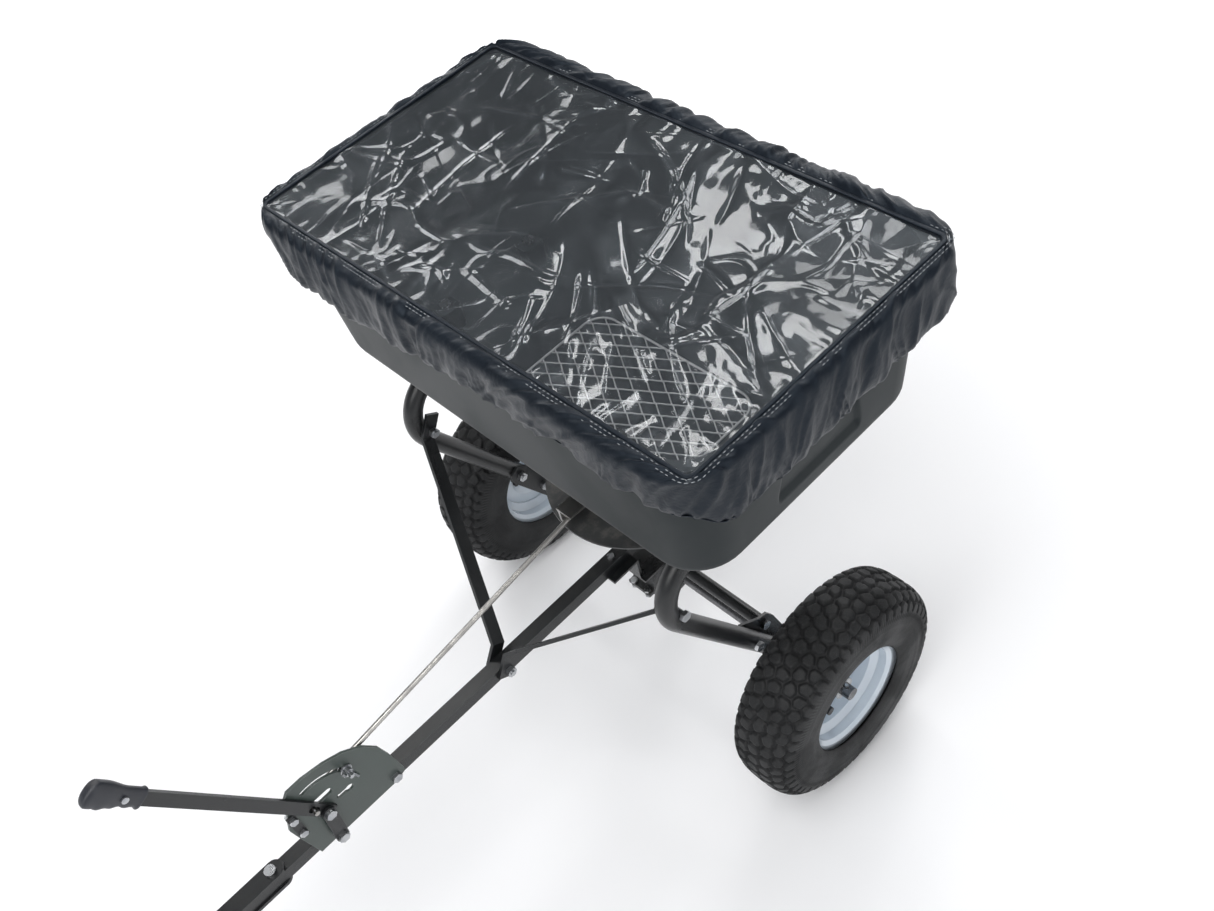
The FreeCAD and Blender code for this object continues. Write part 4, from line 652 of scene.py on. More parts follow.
SLOT_NODES = {
    "hopper_poly": "hopper",
    "frame_black": "frame_tube axle_bracket crossover_tube tongue hitch_strap brace_left"
                   " brace_right"
                   " lever pivot_strap front_bracket gearbox_bracket",
    "plate_green": "control_plate",
    "axle_steel": "axle",
    "rod_steel": "flow_rod",
    "housing_black": "gearbox_lower gearbox_upper",
    "gear_steel": "ring_gear pinion impeller_shaft gate_plate gate_guides",
    "tyre_rubber": "tyre_",
    "rim_white": "rim_",
    "valve_rubber": "valve_",
    "impeller_poly": "impeller agitator",
    "bush_nylon": "axle_bushes",
    "grip_rubber": "lever_grip",
    "cover_fabric": "cover_border",
    "cover_film": "cover_window",
    "cover_elastic": "cover_elastic",
}


def slot_of(node):
    """Finish of a CAD node: the longest listed name that starts it, or plated steel."""
    best, found = "", "zinc"
    plated = ("_bolts", "_bolt", "_screw", "_screws", "_pins", "_rivets", "_cotters", "_washer",
              "_washers", "_nut", "_spacer")
    if node.endswith(plated):
        return found
    for paint, names in SLOT_NODES.items():
        for start in names.split():
            if node.startswith(start) and len(start) > len(best):
                best, found = start, paint
    return found


# ---------------------------------------------------------------- tyres


def tyre_outline(count):
    """A tyre's outside from bead to bead: |cos|^0.62 and |sin|^0.62 of an angle."""
    angle = np.linspace(-2.20, 2.20, count)
    squash = 0.62
    wide = TYRE_HALF * np.sign(np.sin(angle)) * np.abs(np.sin(angle)) ** squash
    high = np.sign(np.cos(angle)) * np.abs(np.cos(angle)) ** squash
    radius = BEAD_RADIUS + (TYRE_RADIUS - BEAD_RADIUS) * high
    return wide, radius


def even_steps(wide, radius, gap_of):
    """The outline with points spaced by gap_of(arc length), and the length from the crown."""
    length = np.concatenate([[0], np.cumsum(np.hypot(np.diff(wide), np.diff(radius)))])
    length = length - length[-1] / 2
    density = 1 / gap_of(length)
    share = np.concatenate([[0], np.cumsum((density[1:] + density[:-1]) / 2 * np.diff(length))])
    rows = int(share[-1])
    at = np.interp(np.linspace(0, share[-1], rows), share, length)
    return np.interp(at, length, wide), np.interp(at, length, radius), at


def stud_pattern(around, across, turn_length, studs, groove):
    """1 on studs and 0 in grooves.

    Studs are the cells of shifted points in seven rows: a groove is where the nearest and the
    second nearest point are almost equally far."""
    rng = np.random.default_rng(7)
    pitch = turn_length / studs
    rows = np.array([-0.056, -0.038, -0.019, 0.0, 0.019, 0.038, 0.056])
    seed_around, seed_across = [], []
    for k, row in enumerate(rows):
        place = (np.arange(studs) + 0.5 * (k % 2)) * pitch
        seed_around.append(place + rng.uniform(-0.17, 0.17, studs) * pitch)
        seed_across.append(row + rng.uniform(-0.0028, 0.0028, studs))
    seed_around, seed_across = np.concatenate(seed_around), np.concatenate(seed_across)
    mask = np.ones((len(across), len(around)))
    for start in range(0, len(around), 60):
        part = around[start:start + 60]
        apart = (part[:, None] - seed_around[None, :] + turn_length / 2) % turn_length
        near = np.abs(apart - turn_length / 2).min(axis=0) < 3 * pitch
        dx = (apart - turn_length / 2)[:, near]
        dy = across[:, None] - seed_across[None, near]
        away = np.sqrt(dx[None] ** 2 + dy[:, None] ** 2)
        two = np.partition(away, 1, axis=2)[:, :, :2]
        wall = (two[:, :, 1] - two[:, :, 0]) / 2
        mask[:, start:start + 60] = ease((wall - groove * 0.30) / (groove * 0.42))
    return mask


def tyre_surface(side, studs, depth, groove):
    """Closed tyre: outline - depth * (1 - stud) at (row, turn), shoulder ribs and side rings."""
    wide, radius = tyre_outline(4000)
    wide, radius, arc = even_steps(
        wide, radius, lambda s: np.where(np.abs(s) < TREAD_REACH, 0.00150, 0.0030))
    columns = 660
    turn = np.arange(columns) * 2 * np.pi / columns
    turn_length = 2 * np.pi * TYRE_RADIUS
    stud = stud_pattern(turn * TYRE_RADIUS, arc, turn_length, studs, groove)
    reach = ease((TREAD_REACH - np.abs(arc)) / 0.004)
    dip = depth * (1 - stud) * reach[:, None]
    wide_slope, radius_slope = np.gradient(wide), np.gradient(radius)
    size = np.hypot(wide_slope, radius_slope)
    out_wide, out_radius = -radius_slope / size, wide_slope / size
    shoulder = np.exp(-(((np.abs(arc) - 0.0665) / 0.0045) ** 2))
    ribs = 0.00055 * shoulder[:, None] * np.cos(turn[None, :] * 168)
    ring = 0.0009 * np.exp(-(((radius - 0.121) / 0.0013) ** 2)) + 0.0006 * np.exp(
        -(((radius - 0.101) / 0.0010) ** 2))
    outer = np.abs(wide) > 0.02
    lift = ribs + (ring * outer)[:, None] - dip - 0.0002
    full_wide = wide[:, None] + out_wide[:, None] * lift
    full_radius = radius[:, None] + out_radius[:, None] * lift
    inner_rows = 12
    inner_wide = np.linspace(wide[-1], wide[0], inner_rows)[1:-1]
    inner_radius = np.interp(
        np.linspace(0, 1, inner_rows)[1:-1], [0, 0.15, 0.5, 0.85, 1],
        [radius[-1], TYRE_RADIUS - 0.05, TYRE_RADIUS - 0.02, TYRE_RADIUS - 0.05, radius[0]])
    full_wide = np.concatenate([full_wide, np.repeat(inner_wide[:, None], columns, 1)])
    full_radius = np.concatenate([full_radius, np.repeat(inner_radius[:, None], columns, 1)])
    tops = np.concatenate([(stud - 1) * reach[:, None] + 1, np.zeros((inner_rows - 2, columns))])
    centre_y = (TYRE_LOW[1] + TYRE_HIGH[1]) / 2 * side
    points = np.stack([AXLE[0] + full_radius * np.sin(turn)[None, :],
                       centre_y + full_wide * side,
                       AXLE[2] + full_radius * np.cos(turn)[None, :]], axis=-1)
    return points.reshape(-1, 3), full_wide.shape, tops


class SPREADER_OT_tyres(bpy.types.Operator):
    """Tyres with a block tread of irregular studs, shoulder ribs and a raised ring on the side"""

    bl_idname = "spreader.tyres"
    bl_label = "Tyres"

    def execute(self, context):
        size = context.scene.spreader_tyres
        for name, side, body in (("left", 1, "axle_drive"), ("right", -1, "free_wheel")):
            points, shape, tops = tyre_surface(
                side, size.studs_round, size.stud_depth, size.groove)
            faces = outward(points, grid_faces(*shape, close_rows=True, close_columns=True))
            tyre = make_piece(f"tyre_tread_{name}", points, faces, body,
                              PAINTS["tyre_rubber"])
            add_value(tyre, "stud_top", tops)
            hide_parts(f"tyre_{name}")
        return {"FINISHED"}


# ---------------------------------------------------------------- hopper


def rounded_stations(corners, step):
    """Stations along a chain of (half x, half y, corner radius, height, fillet), corners rounded.

    Each corner V becomes (1-t)^2 A + 2t(1-t) V + t^2 B, with A and B a fillet's length off it."""
    corners = np.array(corners) / 1000.0
    spots, fillets = corners[:, :4], corners[:, 4]
    chain = [spots[:1]]
    leave = spots[0]
    for k in range(1, len(spots) - 1):
        before, here, after = spots[k - 1], spots[k], spots[k + 1]
        back, on = before - here, after - here
        reach_back = fillets[k] / np.linalg.norm(back[[0, 1, 3]])
        reach_on = fillets[k] / np.linalg.norm(on[[0, 1, 3]])
        enter, nxt = here + back * min(reach_back, 0.45), here + on * min(reach_on, 0.45)
        run = np.linalg.norm((enter - leave)[[0, 1, 3]])
        straight = np.linspace(0, 1, max(2, int(run / step) + 1))[1:, None]
        t = np.linspace(0, 1, 7)[1:, None]
        chain += [leave + (enter - leave) * straight,
                  (1 - t) ** 2 * enter + 2 * t * (1 - t) * here + t**2 * nxt]
        leave = nxt
    run = np.linalg.norm((spots[-1] - leave)[[0, 1, 3]])
    straight = np.linspace(0, 1, max(2, int(run / step) + 1))[1:, None]
    chain.append(leave + (spots[-1] - leave) * straight)
    return np.concatenate(chain)


# Up the inside from the floor, over the lip and down the outside, in millimetres:
# half size along X, half size along Y, corner radius, height, fillet.
HOPPER_PROFILE = [
    (71, 82, 20, 438, 0), (126, 186, 36, 572.4, 12), (180, 324, 54, 621, 16),
    (188, 346, 54, 823, 3), (204, 362, 70, 823, 2), (204, 362, 70, 818, 2),
    (192.2, 350.2, 58, 818, 1.5), (184, 328, 58, 617, 12), (130, 190, 40, 570, 10),
    (75, 86, 24, 434, 4), (71, 82, 20, 434, 0)]


def plate_with_holes(x_lines, y_lines, kept, low, high):
    """Flat plate of the kept cells of a grid: top, bottom and a wall round every edge."""
    columns = len(y_lines)
    gx, gy = np.meshgrid(x_lines, y_lines, indexing="ij")
    flat = np.stack([gx.ravel(), gy.ravel()], axis=1)
    points = np.concatenate([np.column_stack([flat, np.full(len(flat), z)]) for z in (low, high)])
    lift = len(flat)
    i, j = np.nonzero(kept)
    a, b = i * columns + j, (i + 1) * columns + j
    top = np.stack([a, b, b + 1, a + 1], axis=1) + lift
    bottom = np.stack([a, a + 1, b + 1, b], axis=1)
    ringed = np.pad(kept, 1)
    walls = []
    for di, dj, start, end in ((1, 0, (1, 0), (1, 1)), (-1, 0, (0, 1), (0, 0)),
                               (0, 1, (1, 1), (0, 1)), (0, -1, (0, 0), (1, 0))):
        beyond = ringed[1 + di:ringed.shape[0] - 1 + di, 1 + dj:ringed.shape[1] - 1 + dj]
        i, j = np.nonzero(kept & ~beyond)
        first = (i + start[0]) * columns + j + start[1]
        second = (i + end[0]) * columns + j + end[1]
        walls.append(np.stack([first, second, second + lift, first + lift], axis=1))
    return points, np.concatenate([top, bottom, *walls])


class SPREADER_OT_hopper(bpy.types.Operator):
    """Moulded hopper with rounded shoulders, rolled lip, recessed ends, floor outlets and bosses"""

    bl_idname = "spreader.hopper"
    bl_label = "Hopper"

    def execute(self, context):
        size = context.scene.spreader_hopper
        stations = rounded_stations(HOPPER_PROFILE, 0.0062)
        x, y, out_x, out_y = loop_grid(*stations[:, :3].T, 12, 112, 72)
        z = np.repeat(stations[:, 3][:, None], x.shape[1], axis=1)
        wide = 0.066 - 0.16 * (z - 0.65)
        recess = (ease((wide - np.abs(x)) / 0.006 + 0.5) * ease((z - 0.652) / 0.006 + 0.5)
                  * ease((0.806 - z) / 0.006 + 0.5) * ease((np.abs(out_y) - 0.9) / 0.1))
        belt = np.exp(-(((z - 0.6320) / 0.0022) ** 2)) * (stations[:, 3] > 0.62)[:, None]
        side = -size.recess * recess - 0.0007 * belt
        x, y = x + out_x * side, y + out_y * side
        points = np.stack([x + HOPPER[0], y, z], axis=-1).reshape(-1, 3)
        faces = outward(points, grid_faces(*x.shape, close_rows=True, close_columns=True))
        shell = make_piece("hopper_shell", points, faces, "chassis",
                           PAINTS["hopper_poly"])
        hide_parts("hopper")
        self.floor()
        self.bosses()
        return {"FINISHED"}

    def floor(self):
        """Floor plate with the two outlets and the shaft hole."""
        x_lines = np.arange(-0.076, 0.0761, 0.002) + AXLE[0] + 0.002
        y_lines = np.arange(-0.086, 0.0861, 0.002)
        cx, cy = (x_lines[1:] + x_lines[:-1]) / 2, (y_lines[1:] + y_lines[:-1]) / 2
        cx, cy = np.meshgrid(cx, cy, indexing="ij")
        line = np.column_stack([cx.ravel() - HOPPER[0], cy.ravel()])
        kept = in_round_box(line, 0.0735, 0.0845, 0.0225).reshape(cx.shape)
        ahead = cx - AXLE[0]
        outlet = ((np.abs(ahead - OUTLET_PLACE[0]) < OUTLET_HALF[0])
                  & (np.abs(np.abs(cy) - OUTLET_PLACE[1]) < OUTLET_HALF[1]))
        shaft = np.hypot(ahead, cy) < SHAFT_HOLE
        points, faces = plate_with_holes(x_lines, y_lines, kept & ~outlet & ~shaft, 0.4341, 0.4379)
        make_piece("hopper_floor", points, outward(points, faces), "chassis",
                   PAINTS["hopper_poly"], sharp=30)

    def bosses(self):
        """Four moulded blocks that stand on the frame tubes: a rounded square carried upwards."""
        points, faces, start = [], [], 0
        a = np.arange(32) * np.pi / 16
        wide = np.sign(np.cos(a)) * np.abs(np.cos(a)) ** 0.35
        long = np.sign(np.sin(a)) * np.abs(np.sin(a)) ** 0.35
        rise = np.array([0.5812, 0.5812, 0.5822, 0.5850, 0.6050, 0.6215, 0.6215])
        swell = np.array([0.0, 0.93, 0.98, 1.0, 1.02, 1.04, 0.0])
        for side in (BOSS_SIDE, -BOSS_SIDE):
            for place in BOSS_PLACES:
                ring = np.stack([
                    AXLE[0] + place + 0.016 * swell[:, None] * wide,
                    side + 0.013 * swell[:, None] * long,
                    np.repeat(rise[:, None], 32, axis=1)], axis=-1).reshape(-1, 3)
                points.append(ring)
                faces.append(outward(ring, grid_faces(7, 32, close_columns=True)) + start)
                start += len(ring)
        make_piece("hopper_bosses", np.concatenate(points), np.concatenate(faces), "chassis",
                   PAINTS["hopper_poly"], sharp=40)


# ---------------------------------------------------------------- screen


def diamond_strands(half_x, half_y, long_way, short_way):
    """Zigzag strands: x = (j + 1/2 + a/2) * short/2, a = arcsin(0.97 cos(2 pi y/long)) to +-1."""
    y = np.arange(-half_y, half_y + 1e-9, long_way / 12)
    count = int(2 * half_x / (short_way / 2))
    strands = []
    for j in range(count):
        wave = np.cos(2 * np.pi * y / long_way + np.pi * j)
        tri = np.arcsin(0.97 * wave) / np.arcsin(0.97)
        x = -half_x + (j + 0.5 + 0.5 * tri) * short_way / 2
        lift = 0.0006 * np.sin(4 * np.pi * y / long_way) + 0.0025 * np.cos(x * 14) * np.cos(y * 9)
        strands.append(np.stack([x, y, lift], axis=1))
    return strands


class SPREADER_OT_screen(bpy.types.Operator):
    """Expanded-metal screen of diamond openings across the hopper's throat"""

    bl_idname = "spreader.screen"
    bl_label = "Screen"

    def execute(self, context):
        size = context.scene.spreader_mesh
        half_x, half_y = (SCREEN_HIGH - SCREEN_LOW)[:2] / 2 - 0.004
        centre = (SCREEN_LOW + SCREEN_HIGH) / 2 * np.array([1.0, 0.0, 1.0])
        section = round_section(size.strand / 2, 6) * np.array([[1.0, 1.35]])
        points, faces, start = [], [], 0
        for line in diamond_strands(half_x, half_y, size.long_way, size.short_way):
            inside = in_round_box(line, half_x + 0.001, half_y + 0.001, SCREEN_CORNER)
            if inside.sum() < 4:
                continue
            line = line[inside]
            ring = sweep(line + centre, section, UP)
            points.append(ring)
            faces.append(capped_faces(len(line), 6) + start)
            start += len(ring)
        x, y, _, _ = loop_grid([half_x], [half_y], [SCREEN_CORNER], 9, 30, 40)
        edge = np.stack([x[0], y[0], np.zeros_like(x[0])], axis=1) + centre
        ring = sweep(edge, round_section(0.0016, 8), UP, closed=True)
        points.append(ring)
        faces.append(outward(ring, grid_faces(len(edge), 8, True, True)) + start)
        screen = make_piece("screen_mesh", np.concatenate(points), np.concatenate(faces),
                            "chassis", PAINTS["mesh_steel"])
        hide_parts("hopper_screen")
        return {"FINISHED"}


def in_round_box(line, half_x, half_y, radius):
    """True where a point lies inside a rectangle with round corners."""
    dx = np.maximum(np.abs(line[:, 0]) - (half_x - radius), 0)
    dy = np.maximum(np.abs(line[:, 1]) - (half_y - radius), 0)
    return np.hypot(dx, dy) <= radius


# ---------------------------------------------------------------- cover


def border_rows():
    """Stations from under the window seam over the lip and down to the gathered hem.

    Each is (reach beyond the seam as a share, corner radius, height from the rim's top)."""
    stations = np.array([
        (-0.14, 0.010, 0.0012), (0.00, 0.010, 0.0030), (0.18, 0.016, 0.0056),
        (0.45, 0.034, 0.0068), (0.72, 0.052, 0.0050), (0.92, 0.064, 0.0000),
        (1.02, 0.070, -0.0100), (1.08, 0.073, -0.0260), (1.10, 0.074, -0.0440),
        (1.08, 0.073, -0.0600), (0.98, 0.069, -0.0720), (0.80, 0.062, -0.0790),
        (0.68, 0.057, -0.0790), (0.62, 0.054, -0.0745)])
    at = np.linspace(0, len(stations) - 1, 53)
    places = np.arange(len(stations))
    spread = np.stack([np.interp(at, places, stations[:, k]) for k in range(3)], 1)
    for _ in range(3):
        spread[1:-1] = (spread[:-2] + 2 * spread[1:-1] + spread[2:]) / 4
    return spread, at / (len(stations) - 1)


def gathers(around, reach, total, count, seed):
    """Gathered hem: -|cos|^0.7 of a wandering phase, round bulges with sharp creases between.

    The phase is pi * count * s / total plus noise; reach is the way from the seam in metres."""
    turn = around / total * 2 * np.pi
    ring_x, ring_y = np.cos(turn) * 5.5, np.sin(turn) * 5.5
    wander = 2.6 * layered_noise(ring_x + reach * 6, ring_y, seed, 2)
    lean = 18.0 * (0.09 - reach) * soft_noise(ring_x * 1.3, ring_y * 1.3 + 9, seed + 5)
    phase = np.pi * (count * around / total + wander + lean)
    strength = 0.55 + 0.45 * soft_noise(ring_x * 2.4 + 5, ring_y * 2.4, seed + 9)
    return strength * (0.62 - np.abs(np.cos(phase)) ** 0.7)


def drag_folds(around, reach, total, seed):
    """Long slanting folds: 1 - |noise| on a map sheared by the reach across the band."""
    turn = around / total * 2 * np.pi
    ring_x = np.cos(turn) * total / (2 * np.pi)
    ring_y = np.sin(turn) * total / (2 * np.pi)
    lean = 0.7 * soft_noise(ring_x * 5, ring_y * 5, seed) + 0.25
    slide = around + lean * reach * 1.3
    turn = slide / total * 2 * np.pi
    ring_x, ring_y = np.cos(turn) * total / (2 * np.pi), np.sin(turn) * total / (2 * np.pi)
    first = 1 - np.abs(layered_noise(ring_x * 30 + reach * 5, ring_y * 30, seed + 1, 2)) * 1.5
    second = 1 - np.abs(layered_noise(ring_x * 58, ring_y * 58 + reach * 14, seed + 2, 2)) * 1.5
    return 0.75 * first + 0.35 * second - 0.55


class SPREADER_OT_cover_border(bpy.types.Operator):
    """Fabric border of the rain cover, gathered by its elastic hem under the hopper's lip"""

    bl_idname = "spreader.cover_border"
    bl_label = "Cover border"

    def execute(self, context):
        size = context.scene.spreader_cover
        rows, down = border_rows()
        seam_x, seam_y = (WINDOW_HIGH[:2] - WINDOW_LOW[:2]) / 2
        full_x, full_y = (COVER_HIGH[:2] - COVER_LOW[:2]) / 2
        half_x = seam_x + (full_x - seam_x) * rows[:, 0]
        half_y = seam_y + (full_y - seam_y) * rows[:, 0]
        x, y, out_x, out_y = loop_grid(half_x, half_y, rows[:, 1], 36, 130, 240)
        ring = np.hypot(np.diff(x[20], append=x[20][:1]), np.diff(y[20], append=y[20][:1]))
        total = ring.sum()
        around = np.repeat((np.cumsum(ring) - ring)[None, :], len(down), axis=0)
        drop = np.cumsum(np.hypot(np.gradient(half_x), np.gradient(rows[:, 2])))
        reach = np.repeat(drop[:, None], x.shape[1], axis=1)
        depth = np.repeat(down[:, None], x.shape[1], axis=1)
        front = ease((out_x - 0.2) / 0.7)
        near = ease((y + 0.27) / 0.45)
        hang = 1 + front * (0.14 - 0.38 * near)
        z = rows[:, 2][:, None] * np.where(rows[:, 2][:, None] < 0, hang, 1.0)
        hem = gathers(around, reach, total, size.folds, 3) * ease((depth - 0.30) / 0.55)
        drag = drag_folds(around, reach, total, 41)
        fine = layered_noise(around * 60, reach * 40, 77, 2)
        rear = ease((-out_x - 0.1) / 0.8)
        top = ease((depth - 0.07) / 0.16) * ease((0.99 - depth) / 0.06)
        ends = ease((np.abs(out_y) - 0.3) / 0.6)
        push = (1.25 * size.gather * hem * (1 - 0.25 * ends) * (1 - 0.3 * front)
                + 0.0056 * drag * top * (1 + 0.5 * rear - 0.25 * ends) + 0.0005 * fine * top)
        flat_part = 1 - ease((depth - 0.30) / 0.24)
        z = z + (push + 0.0026 * rear * top) * flat_part
        side = push * (1 - flat_part) - 0.0030 * front * ease((depth - 0.4) / 0.3)
        corner = mitre(x, y, half_x, half_y) * (1 - ease((depth - 0.55) / 0.2))
        z = z - 0.0014 * corner * flat_part
        side = side - 0.0010 * corner * (1 - flat_part)
        side = side + 0.012 * rear * ease((depth - 0.28) / 0.2) * ease((1.1 - depth) / 0.3)
        casing = np.exp(-(((depth - 0.86) / 0.010) ** 2))
        side = side - 0.0016 * casing
        x, y = x + out_x * side, y + out_y * side
        points = np.stack([x + HOPPER[0], y, z + RIM_TOP], axis=-1)
        faces = grid_faces(*x.shape, close_columns=True)
        metres = np.stack([around, reach], axis=-1)
        border = make_piece("cover_border_cloth", points.reshape(-1, 3), faces[:, ::-1],
                            "rain_cover", PAINTS["cover_fabric"],
                            metres.reshape(-1, 2))
        wall = border.modifiers.new("cloth", "SOLIDIFY")
        wall.thickness, wall.offset = 0.0009, -1.0
        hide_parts("cover_border", "cover_elastic")
        return {"FINISHED"}


def mitre(x, y, half_x, half_y):
    """1 along the diagonal seams from the window's corners: exp of the distance off 45 degrees."""
    off = (np.abs(x) - half_x[:, None]) - (np.abs(y) - half_y[:, None])
    return np.exp(-((off / 0.0016) ** 2)) * (np.abs(x) > 0.1) * (np.abs(y) > 0.2)


def folds_between(x, y, count, seed, spread, reach):
    """Sharp fold lines: sum of h * exp(-(d/w)^2) * taper, d the distance from a random line."""
    rng = np.random.default_rng(seed)
    total = np.zeros_like(x)
    half_x, half_y = x.max(), y.max()
    for _ in range(count):
        cx, cy = rng.uniform(-half_x, half_x), rng.uniform(-half_y, half_y)
        turn = rng.normal(spread[0], spread[1])
        long, wide = rng.uniform(*reach), rng.uniform(0.0016, 0.0036)
        along = (x - cx) * np.cos(turn) + (y - cy) * np.sin(turn)
        off = (y - cy) * np.cos(turn) - (x - cx) * np.sin(turn)
        off = off - rng.normal(0, 1.6) * along**2
        sharp = np.exp(-((off / wide) ** 2)) + 0.5 * np.exp(-np.abs(off) / (4 * wide))
        total += rng.choice((-0.6, 1.0)) * rng.uniform(0.4, 1.0) * sharp * ease(
            (long - np.abs(along)) / (0.5 * long))
    return total


def crumpled(x, y, height):
    """Creased film: slow waves, exp(-(noise/w)^2) where warped noise crosses zero, fold lines.

    Returns the height and how sharply each place is creased, from 0 to 1."""
    bend_x = x + 0.022 * layered_noise(x * 8, y * 8, 11, 3)
    bend_y = y + 0.022 * layered_noise(x * 8 + 40, y * 8, 12, 3)
    waves = layered_noise(x * 6, y * 4.2, 21, 2) + 0.35 * layered_noise(x * 15, y * 15, 23, 2)
    total = 2.1 * waves
    for frequency, width, share, seed in ((7.0, 0.085, 0.62, 31), (11.0, 0.12, 0.46, 33),
                                          (20.0, 0.18, 0.20, 35)):
        field = layered_noise(bend_x * frequency, bend_y * frequency, seed, 2)
        patch = ease(0.5 + 1.5 * soft_noise(x * 9 + seed, y * 9, seed + 1))
        total += share * np.exp(-((field / width) ** 2)) * patch
    total += 0.50 * folds_between(x, y, 70, 41, (0.75, 0.60), (0.02, 0.12))
    total += 0.45 * folds_between(x, y, 40, 43, (2.0, 0.40), (0.02, 0.10))
    busy = ease(0.35 + 1.6 * soft_noise(x * 6 + 3, y * 6, 91))
    small = np.abs(layered_noise(bend_x * 46, bend_y * 46, 83, 2))
    total += -0.16 * small * busy
    total = height * total
    bow = (np.roll(total, 1, 0) + np.roll(total, -1, 0) + np.roll(total, 1, 1)
           + np.roll(total, -1, 1) - 4 * total)
    return total - total.mean(), ease(np.abs(bow) / 0.0007)


class SPREADER_OT_cover_window(bpy.types.Operator):
    """Clear creased film stretched across the middle of the rain cover"""

    bl_idname = "spreader.cover_window"
    bl_label = "Cover window"

    def execute(self, context):
        size = context.scene.spreader_cover
        half_x, half_y = (WINDOW_HIGH[:2] - WINDOW_LOW[:2]) / 2 + 0.003
        columns, rows = 350, 188
        y, x = np.meshgrid(np.linspace(-half_y, half_y, columns),
                           np.linspace(-half_x, half_x, rows))
        rise, crease = crumpled(x, y, size.crease)
        edge = np.minimum(half_x - np.abs(x), half_y - np.abs(y))
        held = ease(edge / 0.05)
        sag = -0.010 * (1 - (x / half_x) ** 2) * (1 - (y / half_y) ** 2)
        along = np.where(half_x - np.abs(x) < half_y - np.abs(y), y, x)
        pucker = layered_noise(along * 46, edge * 6, 61, 2) * np.exp(-edge / 0.030)
        z = (RIM_TOP + 0.0030 + rise * (0.30 + 0.70 * held) + sag
             + 0.0016 * pucker * ease(edge / 0.01))
        points = np.stack([x + HOPPER[0], y, z], axis=-1).reshape(-1, 3)
        faces = grid_faces(rows, columns)[:, ::-1]
        film = make_piece("cover_window_film", points, faces, "rain_cover",
                          PAINTS["cover_film"])
        add_value(film, "crease", crease)
        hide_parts("cover_window")
        return {"FINISHED"}


def stitch_row(path, ahead, length, width, height):
    """Short domed threads: each is a 5 by 6 loft of width * sin(pi t) along its own way."""
    t = np.linspace(0.02, 0.98, 5)
    swell = np.sin(np.pi * t) ** 0.5
    a = np.arange(6) * np.pi / 3
    template = np.stack([
        np.repeat((t - 0.5)[:, None] * length, 6, 1),
        width * swell[:, None] * np.cos(a)[None, :],
        height * swell[:, None] * np.sin(a)[None, :] + np.sin(np.pi * t)[:, None] * height * 0.6,
    ], axis=-1).reshape(-1, 3)
    side = np.stack([-ahead[:, 1], ahead[:, 0], np.zeros(len(ahead))], axis=1)
    points = (path[:, None] + template[None, :, :1] * ahead[:, None]
              + template[None, :, 1:2] * side[:, None] + template[None, :, 2:] * UP)
    faces = capped_faces(5, 6)[None] + np.arange(len(path))[:, None, None] * len(template)
    return points.reshape(-1, 3), faces.reshape(-1, 4)


def along_loop(half_x, half_y, radius, pitch):
    """Evenly spaced points and ways round a rectangle with round corners."""
    x, y, _, _ = loop_grid([half_x], [half_y], [radius], 25, 200, 300)
    loop = np.stack([x[0], y[0]], axis=1)
    loop = np.concatenate([loop, loop[:1]])
    length = np.concatenate([[0], np.cumsum(np.hypot(*np.diff(loop, axis=0).T))])
    at = np.arange(0, length[-1] - pitch / 2, pitch)
    place = np.stack([np.interp(at, length, loop[:, k]) for k in (0, 1)], axis=1)
    later = np.stack([np.interp(at + 0.001, length, loop[:, k]) for k in (0, 1)], axis=1)
    ahead = later - place
    return place, ahead / np.linalg.norm(ahead, axis=1, keepdims=True)


class SPREADER_OT_seams(bpy.types.Operator):
    """Binding tape and its two rows of stitches round the clear window"""

    bl_idname = "spreader.seams"
    bl_label = "Window seam"

    def execute(self, context):
        size = context.scene.spreader_cover
        half_x, half_y = (WINDOW_HIGH[:2] - WINDOW_LOW[:2]) / 2
        x, y, _, _ = loop_grid([half_x], [half_y], [SEAM_CORNER], 17, 150, 280)
        height = RIM_TOP + 0.0042
        line = np.stack([x[0] + HOPPER[0], y[0], np.full(x.shape[1], height)], axis=1)
        a = np.linspace(0, np.pi, 7)
        tape = np.stack([0.0026 * np.cos(a), 0.0012 * np.sin(a) ** 0.6], axis=1)
        tape = np.concatenate([tape, [[-0.0022, -0.0012], [0.0022, -0.0012]]])
        points = sweep(line, tape, UP, closed=True)
        faces = outward(points, grid_faces(len(line), len(tape), True, True))
        edge = np.concatenate([[0], np.cumsum(np.linalg.norm(np.diff(line, axis=0), axis=1))])
        metres = np.stack([np.repeat(edge, len(tape)),
                           np.tile(np.arange(len(tape)) * 0.0012, len(line))], axis=1)
        make_piece("window_binding", points, faces, "rain_cover",
                   PAINTS["cover_fabric"], metres)
        rows = []
        for inset in (0.0048, 0.0090):
            place, ahead = along_loop(half_x + inset, half_y + inset, SEAM_CORNER + inset,
                                      size.stitch * 1.45)
            path = np.column_stack([place[:, 0] + HOPPER[0], place[:, 1],
                                    np.full(len(place), height + 0.0011)])
            way = np.column_stack([ahead, np.zeros(len(ahead))])
            rows.append(stitch_row(path, way, size.stitch, 0.00042, 0.00032))
        (inner, inner_faces), (outer, outer_faces) = rows
        points = np.concatenate([inner, outer])
        faces = np.concatenate([inner_faces, outer_faces + len(inner)])
        make_piece("window_stitches", points, faces, "rain_cover",
                   PAINTS["seam_thread"])
        return {"FINISHED"}


# ---------------------------------------------------------------- lever grip


